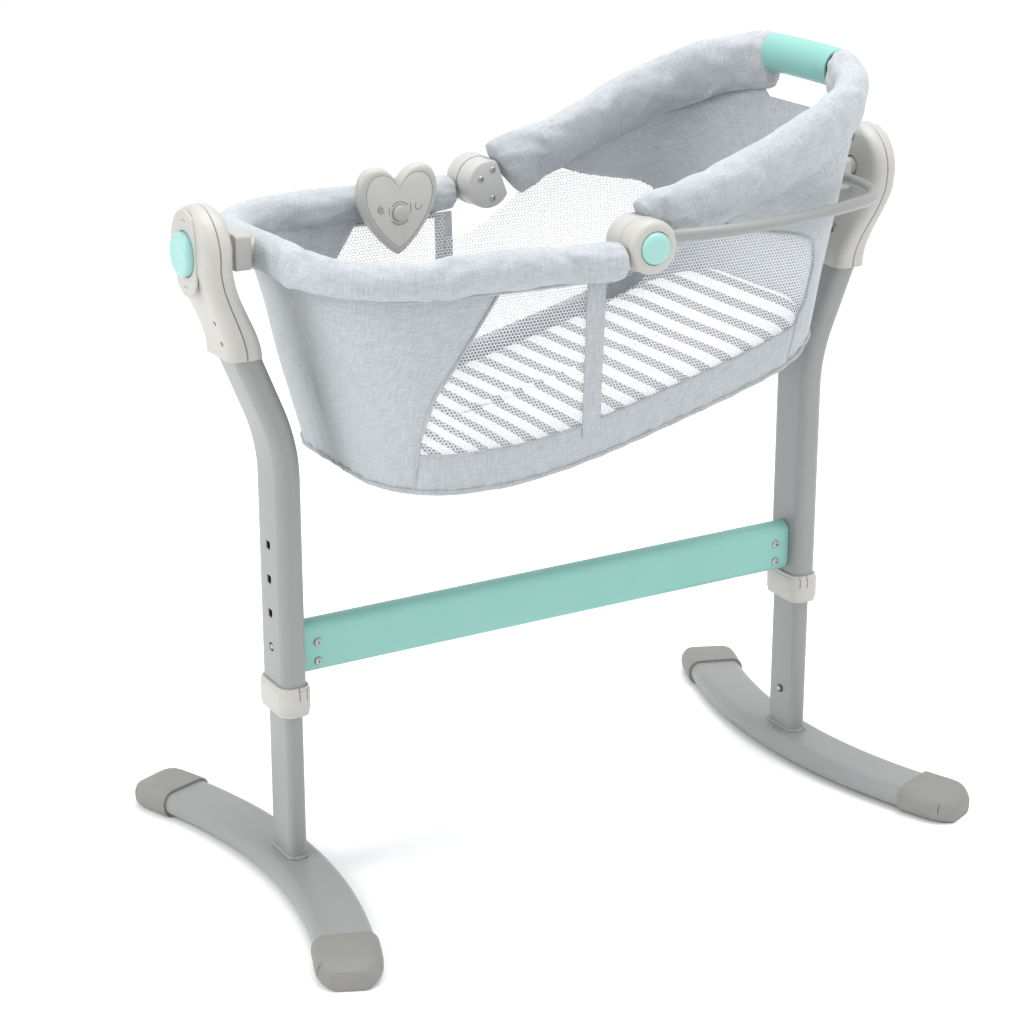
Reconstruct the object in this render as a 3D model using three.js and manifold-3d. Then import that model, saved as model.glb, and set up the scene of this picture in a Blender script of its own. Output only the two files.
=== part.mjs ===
// A swinging baby cradle: a soft basket hung between two hubs on a height-adjustable stand.
// Millimetres, +Z up, +X towards the head end, -Y is the side with the near handrail.
// Every piece is built at its rest place. The head-end copy of a stand piece is made once
// and the foot-end copy is the same piece mirrored in X.
import * as THREE from "three";
import { mergeVertices } from "three/addons/utils/BufferGeometryUtils.js";
import Module from "manifold-3d";

const wasm = await Module();
wasm.setup();

// ---- driving dimensions ----
const gap = 0.3; // clearance between pieces that touch on the real object
const tubeWall = 1.5;

// stand
const postX = 329; // centre of each upright
const postSize = { x: 29, y: 58, r: 11 };
const legSize = { x: 21, y: 50, r: 8 };
const postBottom = 200;
const bendStart = 455; // height where the upright starts to lean outwards
const bendRadius = 200;
const bendAngle = THREE.MathUtils.degToRad(22);
const postTop = 622;
const holePitch = 38;
const holeCount = 4;
const holeLowest = 269.7;
const holeSize = 9;
const collarWall = 3.4;
const collarHeight = 33;
const collarLip = 3;

// crossbar between the uprights
const barHeight = 58;
const barDepth = 24;
const barBottom = 234.5;
const barScrewInset = 19;
const barScrewDrop = 25;
const barScrewPitch = 21.6;
const screwHead = { r: 4.6, h: 2.2 };
const screwShank = { r: 1.9, h: 9 };
const hubScrewLength = 16;
const hubScrewSink = 3; // how deep each hub screw's seat lies below the shell's face

// base feet
const footReach = 230; // half the spread of one foot, to the middle of its cap
const footBow = 46; // how far the ends stand outboard of the middle
const footTube = { w: 64, h: 26, r: 12 };
const capWall = 3;
const capLength = 58;
const legHeight = 300;
const stopHeight = 78.3;
const stopRadius = 4.3;

// hubs and the swing axis
const pivotZ = 703;
const hubX = 405; // middle of the hub's thickness
const hubDepth = 32;
const hubRadius = 48;
const neckWidth = 66;
const neckDepth = 39;
const neckZ = 594;
const hubBore = 9;
const coverSize = { w: 50, h: 88, t: 3 };
const hubButton = { r: 23, h: 13, travel: 4 };
const shaftRadius = 8;

// basket rims, as centre lines
const rimTube = 8;
const supportTube = 6.5;
const rimHalf = 166; // half width of the foot rim
const rimEnd = 334; // foot end of the foot rim
const rimCorner = 105;
const rimZ = 684; // height of the foot rim beside the hinges
const rimEndZ = 692;
const headHalf = 158;
const headEnd = 322;
const headCorner = 118;
const headEndZ = 828;
const hinge = { x: 2, z: 697, r: 28, split: 168, outer: 26, inner: 27 };
const sideButton = { r: 17, h: 7, travel: 4 };
const supportHalf = 195;
const supportEnd = 360;
const hingeFlare = 9; // how far the support tube turns in to its housing
const supportPower = 3; // the support tube's plan is a squared-off oval of this power
const footSleeve = 21.5;
const headSleeve = 24;

// basket body
const wall = 3;
const floorZ = 458;
const floorRise = 0.245; // slope of the head half of the floor
const floorBend = -150; // where the flat foot half ends
const floorSag = { depth: 17, middle: 60, reach: 215 };
const floorThick = 5;
const bodyFoot = 262;
const bodyHead = 272;
const bodyHalf = 146;
const bodyCorner = 92;
const seamFoot = -232; // side panels run between these two
const seamHead = 205;
const skirtLap = 12; // how far the skirt hangs over the wall below it
const skirtGap = 2;
const mattress = { inset: 7, thick: 28 };

// handle
const grip = { w: 36, h: 43, half: 60, opening: 26 };

// soother
const heart = { w: 96, h: 98, back: 17, key: 9, x: -119, z: 687 };

// ---- materials ----
const material = (color, roughness, metalness = 0) =>
  new THREE.MeshStandardMaterial({ color, roughness, metalness });
const tubePaint = material(0xc3c6c3, 0.42, 0.25);
const mint = material(0x8fdccb, 0.4);
const mintButton = material(0xbce9e2, 0.35);
const offWhite = material(0xe0ddd6, 0.45);
const warmGrey = material(0x9f9f98, 0.7);
const zinc = material(0xc9cacb, 0.3, 1);
const fabric = material(0xbfc7cc, 0.95);
const meshCloth = material(0xe6e8ec, 0.95);
const sheetCloth = material(0xf2f2f4, 0.95);
const facePlate = material(0xd6d6d2, 0.5);

// ---- shape helpers ----
function roundedRect(w, h, r) {
  const s = new THREE.Shape();
  const x = w / 2;
  const y = h / 2;
  s.moveTo(x - r, -y);
  s.absarc(x - r, -y + r, r, -Math.PI / 2, 0, false);
  s.absarc(x - r, y - r, r, 0, Math.PI / 2, false);
  s.absarc(-x + r, y - r, r, Math.PI / 2, Math.PI, false);
  s.absarc(-x + r, -y + r, r, Math.PI, Math.PI * 1.5, false);
  s.closePath();
  return s;
}

function circle(r) {
  return new THREE.Shape().absarc(0, 0, r, 0, Math.PI * 2, false);
}

function withHole(shape, hole) {
  shape.holes.push(hole);
  return shape;
}

// A section carried through a list of stations, one Matrix4 each.
function loft(section, stations, curveSegments = 3) {
  const last = stations.length - 1;
  const g = new THREE.ExtrudeGeometry(section, {
    steps: last,
    depth: last,
    bevelEnabled: false,
    curveSegments,
  });
  const p = g.getAttribute("position");
  const v = new THREE.Vector3();
  for (let i = 0; i < p.count; i++) {
    v.fromBufferAttribute(p, i);
    const station = stations[Math.round(v.z)];
    v.z = 0;
    v.applyMatrix4(station);
    p.setXYZ(i, v.x, v.y, v.z);
  }
  return g;
}

// A station at a point, facing along a direction, with the section's y kept towards `up`.
function station(at, along, up, scaleX = 1, scaleY = 1) {
  const z = along.clone().normalize();
  const x = up.clone().cross(z).normalize();
  const y = z.clone().cross(x);
  return new THREE.Matrix4()
    .makeBasis(x.multiplyScalar(scaleX), y.multiplyScalar(scaleY), z)
    .setPosition(at);
}

// Stations along a list of points, each facing along the bisector of its two legs.
function along(points, up) {
  return points.map((p, i) => {
    const before = points[Math.max(i - 1, 0)];
    const after = points[Math.min(i + 1, points.length - 1)];
    return station(p, after.clone().sub(before), up);
  });
}

const at = (x, y, z) => new THREE.Vector3(x, y, z);
const Y = at(0, 1, 0);
const Z = at(0, 0, 1);

function box(x0, x1, y0, y1, z0, z1) {
  return new THREE.BoxGeometry(x1 - x0, y1 - y0, z1 - z0)
    .translate((x0 + x1) / 2, (y0 + y1) / 2, (z0 + z1) / 2);
}

// A round piece along X from x0 to x1, or along Y from y0 to y1.
function rodX(r, x0, x1, y, z, sides = 20) {
  return new THREE.CylinderGeometry(r, r, x1 - x0, sides)
    .rotateZ(Math.PI / 2)
    .translate((x0 + x1) / 2, y, z);
}

function rodY(r, y0, y1, x, z, sides = 20) {
  return new THREE.CylinderGeometry(r, r, y1 - y0, sides).translate(x, (y0 + y1) / 2, z);
}

// A three.js geometry as a manifold-3d solid, and back.
function solid(geometry) {
  const g = geometry.clone();
  g.deleteAttribute("normal");
  g.deleteAttribute("uv");
  const m = mergeVertices(g, 1e-4);
  const vertProperties = m.getAttribute("position").array;
  const triVerts = new Uint32Array(m.index.array);
  return new wasm.Manifold(new wasm.Mesh({ numProp: 3, vertProperties, triVerts }));
}

function geometryOf(made) {
  const m = made.getMesh();
  const g = new THREE.BufferGeometry();
  g.setAttribute("position", new THREE.BufferAttribute(m.vertProperties, 3));
  g.setIndex(new THREE.BufferAttribute(m.triVerts, 1));
  g.computeVertexNormals();
  return g;
}

const cradle = new THREE.Group();

function add(name, geometry, mat, mirrored = false) {
  const mesh = new THREE.Mesh(geometry.isBufferGeometry ? geometry : geometryOf(geometry), mat);
  mesh.name = name;
  if (mirrored) mesh.scale.x = -1;
  cradle.add(mesh);
}

// The same stand piece at the head end and, mirrored, at the foot end.
function addPair(name, geometry, mat) {
  const g = geometry.isBufferGeometry ? geometry : geometryOf(geometry);
  add(name + "_head", g, mat);
  add(name + "_foot", g, mat, true);
}

// ---- uprights: straight, then leaning outwards into the hub ----
const postEndX = (z) => {
  const arcTop = bendStart + bendRadius * Math.sin(bendAngle);
  if (z <= bendStart) return postX;
  if (z <= arcTop) {
    const lean = Math.asin((z - bendStart) / bendRadius);
    return postX + bendRadius * (1 - Math.cos(lean));
  }
  const arcX = postX + bendRadius * (1 - Math.cos(bendAngle));
  return arcX + (z - arcTop) * Math.tan(bendAngle);
};

function postPath(from, to) {
  const points = [at(postX, 0, from)];
  const bends = 4;
  for (let i = 0; i <= bends; i++) {
    const z = bendStart + (i / bends) * bendRadius * Math.sin(bendAngle);
    points.push(at(postEndX(z), 0, z));
  }
  points.push(at(postEndX(to), 0, to));
  return points;
}

function post() {
  const { x, y, r } = postSize;
  const bore = roundedRect(x - 2 * tubeWall, y - 2 * tubeWall, r - tubeWall);
  const section = withHole(roundedRect(x, y, r), bore);
  let made = solid(loft(section, along(postPath(postBottom, postTop), Y)));
  for (let i = 0; i < holeCount; i++) {
    const z = holeLowest + i * holePitch;
    made = made.subtract(solid(rodX(holeSize / 2, postX + 5, postX + x, 0, z, 10)));
  }
  return made;
}
addPair("post", post(), tubePaint);

// ---- collars: seal the telescoping joint and carry a clip tab on the outboard face ----
function collar() {
  const { x, y, r } = postSize;
  const low = postBottom - collarLip;
  const outer = roundedRect(x + 2 * collarWall, y + 2 * collarWall, r + collarWall);
  const tubeRoom = roundedRect(x + 2 * gap, y + 2 * gap, r + gap);
  const legRoom = roundedRect(legSize.x + 2, legSize.y + 2, legSize.r + 1);
  const rise = (shape, z0, z1) =>
    solid(loft(shape, [station(at(postX, 0, z0), Z, Y), station(at(postX, 0, z1), Z, Y)]));
  const faceX = postX + x / 2 + collarWall;
  const tab = solid(box(faceX - 1, faceX + 2.4, -12, 12, low + 6, low + collarHeight - 5));
  let made = rise(outer, low, low + collarHeight).add(tab);
  for (const slotZ of [low + 11, low + 20]) {
    made = made.subtract(solid(box(faceX + 0.8, faceX + 4, -8, 8, slotZ, slotZ + 4)));
  }
  return made
    .subtract(rise(tubeRoom, postBottom - gap, low + collarHeight + 1))
    .subtract(rise(legRoom, low - 1, postBottom));
}
addPair("collar", collar(), offWhite);

// ---- crossbar, a rounded tube whose ends butt against the uprights ----
const barEnd = postX - postSize.x / 2 - gap;
const barMid = barBottom + barHeight / 2;
function crossbar() {
  const inside = roundedRect(barDepth - 2 * tubeWall, barHeight - 2 * tubeWall, 9);
  const section = withHole(roundedRect(barDepth, barHeight, 10.5), inside);
  const ends = [-barEnd, barEnd].map((x) => station(at(x, 0, barMid), at(1, 0, 0), Z));
  let made = solid(loft(section, ends));
  for (const { x, z } of barScrews) {
    made = made.subtract(solid(rodY(screwShank.r + gap, -barDepth, 0, x, z, 12)));
  }
  return made;
}
const barScrews = [];
for (const end of [-1, 1]) {
  for (const row of [0, 1]) {
    barScrews.push({
      name: `crossbar_screw_${end < 0 ? "foot" : "head"}_${row ? "lower" : "upper"}`,
      x: end * (barEnd - barScrewInset),
      z: barBottom + barHeight - barScrewDrop - row * barScrewPitch + 2,
    });
  }
}
add("crossbar", crossbar(), mint);

// A pan-head screw with its head's seat at the origin, pointing along +Y.
function screw(length = screwShank.h) {
  const { r, h } = screwHead;
  const profile = [
    [0, -h], [r * 0.55, -h * 0.9], [r * 0.9, -h * 0.55], [r, 0],
    [screwShank.r, 0], [screwShank.r, length], [0, length],
  ].map(([a, b]) => new THREE.Vector2(a, b));
  return new THREE.LatheGeometry(profile, 10);
}
for (const { name, x, z } of barScrews) {
  add(name, screw().translate(x, -barDepth / 2 - gap, z), zinc);
}

// ---- base feet: a flat tube bowed in plan, two end caps, and the leg that stands on it ----
const footX = (y) => postX + footBow * (y / footReach) ** 2;
const footZ = footTube.h / 2 + capWall;
function footPoints(from, to, count) {
  const points = [];
  for (let i = 0; i <= count; i++) {
    const y = from + ((to - from) * i) / count;
    points.push(at(footX(y), y, footZ));
  }
  return points;
}

const tubeEndY = footReach + capLength / 2 - 12;
const barStations = along(footPoints(-tubeEndY, tubeEndY, 8), Z);
function foot() {
  const { w, h, r } = footTube;
  const bore = roundedRect(w - 2 * tubeWall, h - 2 * tubeWall, r - tubeWall);
  const section = withHole(roundedRect(w, h, r), bore);
  return loft(section, barStations);
}
addPair("base_bar", foot(), tubePaint);

// A cap slides over the bar's end. Its tip is rounded off and its underside is flat.
function cap(sideY) {
  const { w, h, r } = footTube;
  const outer = roundedRect(w + 2 * capWall, h + 2 * capWall, r + capWall - 1);
  const mouth = footReach - capLength / 2;
  const tip = footReach + capLength / 2;
  const tipSteps = [[0, 1], [0.6, 1], [0.8, 0.97], [0.93, 0.9], [1, 0.78]];
  const stations = tipSteps.map(([share, size]) => {
    const y = mouth + (tip - mouth) * share;
    const lean = at((2 * footBow * y) / footReach ** 2, 1, 0);
    const height = (h + 2 * capWall) * (0.45 + 0.55 * size);
    const p = at(footX(y), y, height / 2);
    return station(p, lean, Z, size, height / (h + 2 * capWall));
  });
  const room = roundedRect(w + 2 * gap, h + 2 * gap, r + gap);
  const past = barStations.at(-1).clone().multiply(new THREE.Matrix4().makeTranslation(0, 0, gap));
  const inside = [...barStations, past];
  const made = solid(loft(outer, stations)).subtract(solid(loft(room, inside)));
  const g = geometryOf(made);
  if (sideY > 0) return g;
  return geometryOf(solid(g).mirror([0, 1, 0]));
}
addPair("base_cap_far", cap(1), warmGrey);
addPair("base_cap_near", cap(-1), warmGrey);

// The leg telescopes inside the upright, with a weld bead round its foot.
const legBottom = footZ + footTube.h / 2 + gap;
function leg() {
  const { x, y, r } = legSize;
  const bore = roundedRect(x - 2 * tubeWall, y - 2 * tubeWall, r - tubeWall);
  const rise = (z, grow) => station(at(postX, 0, z), Z, Y, (x + grow) / x, (y + grow) / y);
  const bead = withHole(roundedRect(x, y, r), bore);
  let made = solid(loft(bead, [rise(legBottom, 5), rise(legBottom + 4, 0), rise(legHeight, 0)]));
  made = made.subtract(solid(rodX(stopRadius + gap, postX, postX + x, 0, holeLowest, 12)));
  return made.subtract(solid(rodX(stopRadius - 1 + gap, postX - x, postX, 0, stopHeight, 12)));
}
addPair("leg", leg(), tubePaint);

// Height button: a domed pin in the leg. It stays behind the upright's wall in this solid.
function heightButton() {
  const inner = postX + legSize.x / 2 - 6;
  const tip = postX + postSize.x / 2 - tubeWall - gap;
  const pin = rodX(stopRadius, inner, tip, 0, holeLowest, 12);
  const flange = rodX(stopRadius + 1.6, inner - 1.5, inner + 0.01, 0, holeLowest, 12);
  return solid(pin).add(solid(flange));
}
addPair("height_button", heightButton(), zinc);

// Lower stop on the leg's inboard face: a small rubber-ringed stud.
function legStop() {
  const face = postX - legSize.x / 2;
  const shank = rodX(stopRadius - 1, face - 0.4, face + 5, 0, stopHeight, 12);
  return solid(shank).add(solid(rodX(stopRadius, face - 2.6, face - gap, 0, stopHeight, 12)));
}
addPair("leg_stop", legStop(), zinc);

// ---- hubs: two shells that close round the upright and the pivot ----
function hubStation(z, width, depth) {
  const blend = THREE.MathUtils.smoothstep(z, neckZ, pivotZ - 8);
  const x = THREE.MathUtils.lerp(postEndX(neckZ) + 4, hubX, blend);
  const scale = [depth / hubDepth, width / (2 * hubRadius)];
  return new THREE.Matrix4().makeTranslation(x, 0, z)
    .multiply(new THREE.Matrix4().makeScale(scale[0], scale[1], 1));
}

const hubStations = [];
for (const [share, width, depth] of [
  [0, neckWidth, neckDepth], [0.25, neckWidth + 1, neckDepth - 2],
  [0.5, neckWidth + 9, neckDepth - 5], [0.75, neckWidth + 21, hubDepth + 1],
]) {
  hubStations.push([THREE.MathUtils.lerp(neckZ, pivotZ - 12, share), width, depth]);
}
for (const degrees of [-10, 10, 28, 44, 58, 70, 80]) {
  const a = THREE.MathUtils.degToRad(degrees);
  const thin = degrees > 44 ? (degrees - 44) / 6 : 0;
  hubStations.push([pivotZ + hubRadius * Math.sin(a), 2 * hubRadius * Math.cos(a),
    hubDepth - thin * 2.4]);
}

function hubSolid() {
  const section = roundedRect(hubDepth, 2 * hubRadius, 11);
  return solid(loft(section, hubStations.map((s) => hubStation(...s)), 4));
}

// Everything outboard of the parting line, or inboard of it, for one hub.
function hubHalf(sign) {
  const reach = 60;
  const slab = new THREE.Shape();
  slab.moveTo(sign * gap * 0.5, -reach * 1.5);
  slab.lineTo(sign * reach, -reach * 1.5);
  slab.lineTo(sign * reach, reach * 1.5);
  slab.lineTo(sign * gap * 0.5, reach * 1.5);
  slab.closePath();
  const heights = [neckZ - 40, ...hubStations.map((s) => s[0]), pivotZ + 80];
  return solid(loft(slab, heights.map((z) => hubStation(z, 2 * hubRadius, hubDepth))));
}

// Screws that close each hub, driven from the basket side.
const hubScrews = [["upper", pivotZ + 38, hubDepth - 3], ["lower", 634, neckDepth - 4]]
  .map(([where, z, depth]) => {
    const middle = hubStation(z, 1, 1).elements[12];
    return { where, z, seat: middle - depth / 2 + hubScrewSink };
  });

function withScrewRooms(made) {
  for (const { z, seat } of hubScrews) {
    const headRoom = rodX(screwHead.r + gap, seat - 20, seat + gap / 2, 0, z, 12);
    const shankRoom = rodX(screwShank.r + gap, seat, seat + hubScrewLength + gap, 0, z, 12);
    made = made.subtract(solid(headRoom)).subtract(solid(shankRoom));
  }
  return made;
}

const hubCavity = { r: 32, x0: hubX - 8, x1: hubX + 4 };
const buttonRoom = hubButton.travel + 1;
const hubFace = hubX + hubDepth / 2;
function hubShell(sign) {
  const tubeRoom = roundedRect(postSize.x + 2 * gap, postSize.y + 2 * gap, postSize.r + gap);
  const channel = along(postPath(postTop - 100, postTop + 1), Y);
  let made = withScrewRooms(hubSolid())
    .intersect(hubHalf(sign))
    .subtract(solid(loft(tubeRoom, channel)))
    .subtract(solid(rodX(hubCavity.r, hubCavity.x0, hubCavity.x1, 0, pivotZ, 24)));
  if (sign < 0) return made.subtract(solid(rodX(hubBore, hubX - 40, hubX, 0, pivotZ, 24)));
  const recess = roundedRect(coverSize.w + 2 * gap, coverSize.h + 2 * gap, coverSize.w / 2);
  const seat = [hubFace - coverSize.t, hubFace + 10].map((x) =>
    station(at(x, 0, pivotZ), at(1, 0, 0), Z));
  made = made.subtract(solid(loft(recess, seat, 10)));
  const pocket = rodX(hubButton.r + gap, hubFace - coverSize.t - buttonRoom, hubFace, 0, pivotZ, 24);
  return made.subtract(solid(pocket));
}
addPair("hub_outer_shell", hubShell(1), offWhite);
addPair("hub_inner_shell", hubShell(-1), offWhite);

function hubCover() {
  const { w, h, t } = coverSize;
  const plate = withHole(roundedRect(w, h, w / 2 - 0.01), circle(hubButton.r + 2 * gap));
  const faces = [hubFace - t + gap, hubFace + 0.6].map((x) =>
    station(at(x, 0, pivotZ), at(1, 0, 0), Z));
  return loft(plate, faces, 10);
}
addPair("hub_cover", hubCover(), offWhite);

// A push button along X: a short drum with a softened rim.
function drum(r, length) {
  const profile = [[0, 0], [r, 0], [r, length - 2], [r - 0.6, length - 0.6], [r - 2, length], [0, length]];
  return new THREE.LatheGeometry(profile.map(([a, b]) => new THREE.Vector2(a, b)), 24);
}
const hubButtonBack = hubFace - coverSize.t - 0.5;
addPair("hub_button",
  drum(hubButton.r - 0.2, hubButton.h + 2).rotateZ(-Math.PI / 2)
    .translate(hubButtonBack, 0, pivotZ), mintButton);

for (const { where, z, seat } of hubScrews) {
  addPair(`hub_screw_${where}`,
    screw(hubScrewLength).rotateZ(-Math.PI / 2).translate(seat, 0, z), zinc);
}

// ---- hinges at the middle of each side ----
function plan(half, end, corner, count) {
  const points = [];
  for (let i = 0; i <= count; i++) {
    const a = (i / count) * (Math.PI / 2);
    points.push([end - corner + corner * Math.sin(a), half - corner + corner * Math.cos(a)]);
  }
  return points;
}

const sleeveStart = hinge.r + 6; // where the padded sleeves begin, clear of the housings

// A U-shaped centre line from the near hinge round the end to the far hinge. Beside the hinge
// it shifts sideways by `flare`, so that it enters the middle of its own housing.
function rimPath({ half, end, corner, start, height, flare }) {
  const quarter = plan(half, end, corner, 6);
  const stops = [start, sleeveStart, sleeveStart + 18, sleeveStart + 46, quarter[0][0] * 0.65];
  const side = stops.map((x) => {
    return [x, half + flare * (1 - THREE.MathUtils.smoothstep(x, sleeveStart, sleeveStart + 46))];
  });
  return bothSides([...side, ...quarter], height);
}

function bothSides(farHalf, height) {
  const near = farHalf.map(([x, y]) => at(x, -y, height(x)));
  const far = farHalf.filter(([, y]) => y > 0).map(([x, y]) => at(x, y, height(x))).reverse();
  return [...near, ...far];
}

const footRimZ = (x) => rimZ + ((rimEndZ - rimZ) * x) / rimEnd;
const headRimZ = (x) => {
  const t = Math.max(x - hinge.x, 0) / (headEnd - hinge.x);
  return hinge.z + 12 + (headEndZ - hinge.z - 12) * (0.9 * t + 0.1 * t * t);
};
const supportZ = (x) => 705 - Math.max(x - 260, 0) * 0.075;
const flipX = (points) => points.map((p) => at(-p.x, p.y, p.z)).reverse();

const footRim = (start) => flipX(rimPath({
  half: rimHalf, end: rimEnd, corner: rimCorner, start, height: footRimZ, flare: 12,
}));
const headRim = (start) => rimPath({
  half: headHalf, end: headEnd, corner: headCorner, start, height: headRimZ, flare: -4,
});
const supportLoop = (start) => {
  const stops = [[start, supportHalf - hingeFlare], [sleeveStart, supportHalf - hingeFlare]];
  for (const degrees of [8, 18, 29, 40, 50, 59, 67, 74, 81, 87]) {
    const a = THREE.MathUtils.degToRad(degrees);
    stops.push([supportEnd * Math.sin(a) ** (2 / supportPower),
      supportHalf * Math.cos(a) ** (2 / supportPower)]);
  }
  return bothSides([...stops, [supportEnd, 0]], supportZ);
};

const sweep = (outerR, points, innerR = 0, sides = 5) => {
  const section = circle(outerR);
  if (innerR) section.holes.push(circle(innerR));
  return loft(section, along(points, Z), sides);
};

// Each tube ends inside its housing, in a bore that is a little longer and wider.
const tubeStart = { foot: 8, head: 6, support: 21 };
const footRimPoints = footRim(tubeStart.foot);
const headRimPoints = headRim(tubeStart.head);
const footTubeBore = () => solid(sweep(rimTube + gap, footRim(tubeStart.foot - 1)));
const headTubeBore = () => solid(sweep(rimTube + gap, headRim(tubeStart.head - 1)));
const supportBore = () => solid(sweep(supportTube + gap, supportLoop(tubeStart.support - 1)));

// Housing profile as a lathe about Y: a drum with a shouldered outer face.
function housing(r, length, shoulder) {
  const profile = [
    [0, 0], [r, 0], [r, length - shoulder], [r - shoulder * 0.3, length - shoulder * 0.3],
    [r - shoulder, length], [0, length],
  ];
  return new THREE.LatheGeometry(profile.map(([a, b]) => new THREE.Vector2(a, b)), 24);
}

function outerHousing() {
  const drumShape = housing(hinge.r, hinge.outer, 6).translate(hinge.x, hinge.split + gap, hinge.z);
  const pocket = rodY(sideButton.r + gap, hinge.split + hinge.outer - 6, hinge.split + 60,
    hinge.x, hinge.z, 24);
  return solid(drumShape).subtract(solid(pocket)).subtract(footTubeBore()).subtract(supportBore());
}

function innerHousing() {
  const depth = hinge.inner;
  const face = hinge.split - gap;
  const drumShape = housing(hinge.r - 1, depth, 3).rotateX(Math.PI).translate(hinge.x, face, hinge.z);
  const flat = box(hinge.r * 0.62, hinge.r * 2, -60, 60, -60, 60)
    .rotateY(-THREE.MathUtils.degToRad(20)).translate(hinge.x, face, hinge.z);
  return solid(drumShape).subtract(solid(flat)).subtract(headTubeBore());
}

function addSides(name, made, mat) {
  add(name + "_far", made, mat);
  add(name + "_near", made.mirror([0, 1, 0]), mat);
}
addSides("hinge_outer", outerHousing(), offWhite);
addSides("hinge_inner", innerHousing(), facePlate);
const sideButtonBack = hinge.split + hinge.outer - 6 + sideButton.travel + 0.5;
addSides("side_button",
  solid(drum(sideButton.r - 0.3, sideButton.h).translate(hinge.x, sideButtonBack, hinge.z)),
  mintButton);

// ---- rim tubes and the support tube ----
add("foot_rim_tube", sweep(rimTube, footRimPoints), tubePaint);
add("head_rim_tube", sweep(rimTube, headRimPoints), tubePaint);
add("support_tube", sweep(supportTube, supportLoop(tubeStart.support)), tubePaint);

// Brackets that join the basket's tubes to the pivot shafts.
const footBracketFace = -(rimEnd + 41);
function footBracket() {
  const block = box(footBracketFace, footBracketFace + 18, -15, 15, pivotZ - 22, pivotZ + 15);
  const neck = rodX(12.5, footBracketFace + 17, -rimEnd - 3, 0, pivotZ - 5, 24);
  const bore = rodX(shaftRadius + gap, footBracketFace - 1, footBracketFace + 12, 0, pivotZ, 24);
  return solid(block).add(solid(neck)).subtract(footTubeBore()).subtract(solid(bore));
}
add("pivot_bracket_foot", footBracket(), offWhite);

const headBracketFace = supportEnd + 16;
function headBracket() {
  const block = box(supportEnd - 12, headBracketFace, -20, 20, pivotZ - 22, pivotZ + 13);
  const bore = rodX(shaftRadius + gap, headBracketFace - 8, headBracketFace + 1, 0, pivotZ, 24);
  return solid(block).subtract(supportBore()).subtract(solid(bore));
}
add("pivot_bracket_head", headBracket(), offWhite);
// A pivot shaft with a head inside the hub, so that the basket can't leave it.
function shaft(from) {
  const flange = rodX(18, hubX - 6, hubX - 1, 0, pivotZ, 24);
  return solid(rodX(shaftRadius, from, hubX - 3, 0, pivotZ, 24)).add(solid(flange));
}
add("pivot_shaft_head", shaft(headBracketFace - 8 + gap), zinc);
add("pivot_shaft_foot", shaft(-footBracketFace - 12 + gap).mirror([1, 0, 0]), zinc);

// ---- basket body: walls drawn between the floor outline and the rims ----
const floorLine = (x) => {
  const { depth, middle, reach } = floorSag;
  const sag = depth * Math.max(1 - Math.abs((x - middle) / reach) ** 3, 0);
  return floorZ + Math.max(x - floorBend, 0) * floorRise - sag;
};

// A point on the body's outline. s runs 0..1 from the foot end to the head end on one side.
function outline(s, level, sideY) {
  const foot = THREE.MathUtils.lerp(bodyFoot, rimEnd - 12, level);
  const head = THREE.MathUtils.lerp(bodyHead, headEnd + 8, level);
  const half = THREE.MathUtils.lerp(bodyHalf, headHalf + 2, Math.sqrt(level));
  const corner = THREE.MathUtils.lerp(bodyCorner, rimCorner - 6, level);
  const arc = (corner * Math.PI) / 2;
  const endFlat = half - corner;
  const sideFlat = foot + head - 2 * corner;
  let d = s * (2 * endFlat + 2 * arc + sideFlat);
  if (d < endFlat) return [-foot, d * sideY];
  d -= endFlat;
  if (d < arc) {
    const a = d / corner;
    return [-foot + corner - corner * Math.cos(a), (endFlat + corner * Math.sin(a)) * sideY];
  }
  d -= arc;
  if (d < sideFlat) return [-foot + corner + d, half * sideY];
  d -= sideFlat;
  if (d < arc) {
    const a = d / corner;
    return [head - corner + corner * Math.sin(a), (endFlat + corner * Math.cos(a)) * sideY];
  }
  return [head, (endFlat - (d - arc)) * sideY];
}

// The share s whose point lies at x on the long side.
function shareAt(x, level) {
  let low = 0.15;
  let high = 0.85;
  for (let i = 0; i < 30; i++) {
    const mid = (low + high) / 2;
    if (outline(mid, level, 1)[0] < x) low = mid;
    else high = mid;
  }
  return (low + high) / 2;
}

const footSleeveLow = (x) => footRimZ(-x) - footSleeve - 2;
const headSleeveLow = (x) => headRimZ(x) - headSleeve - 2;
const headFall = THREE.MathUtils.degToRad(12); // how far the head rim drops
const rimLow = (x) => {
  if (x < 0) return Math.min(footSleeveLow(x), hinge.z - hinge.r - 4);
  const lowered = headSleeveLow(x) - x * Math.tan(headFall) - 3;
  return Math.min(lowered, hinge.z - hinge.r - 4 + x * 0.5);
};

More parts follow.
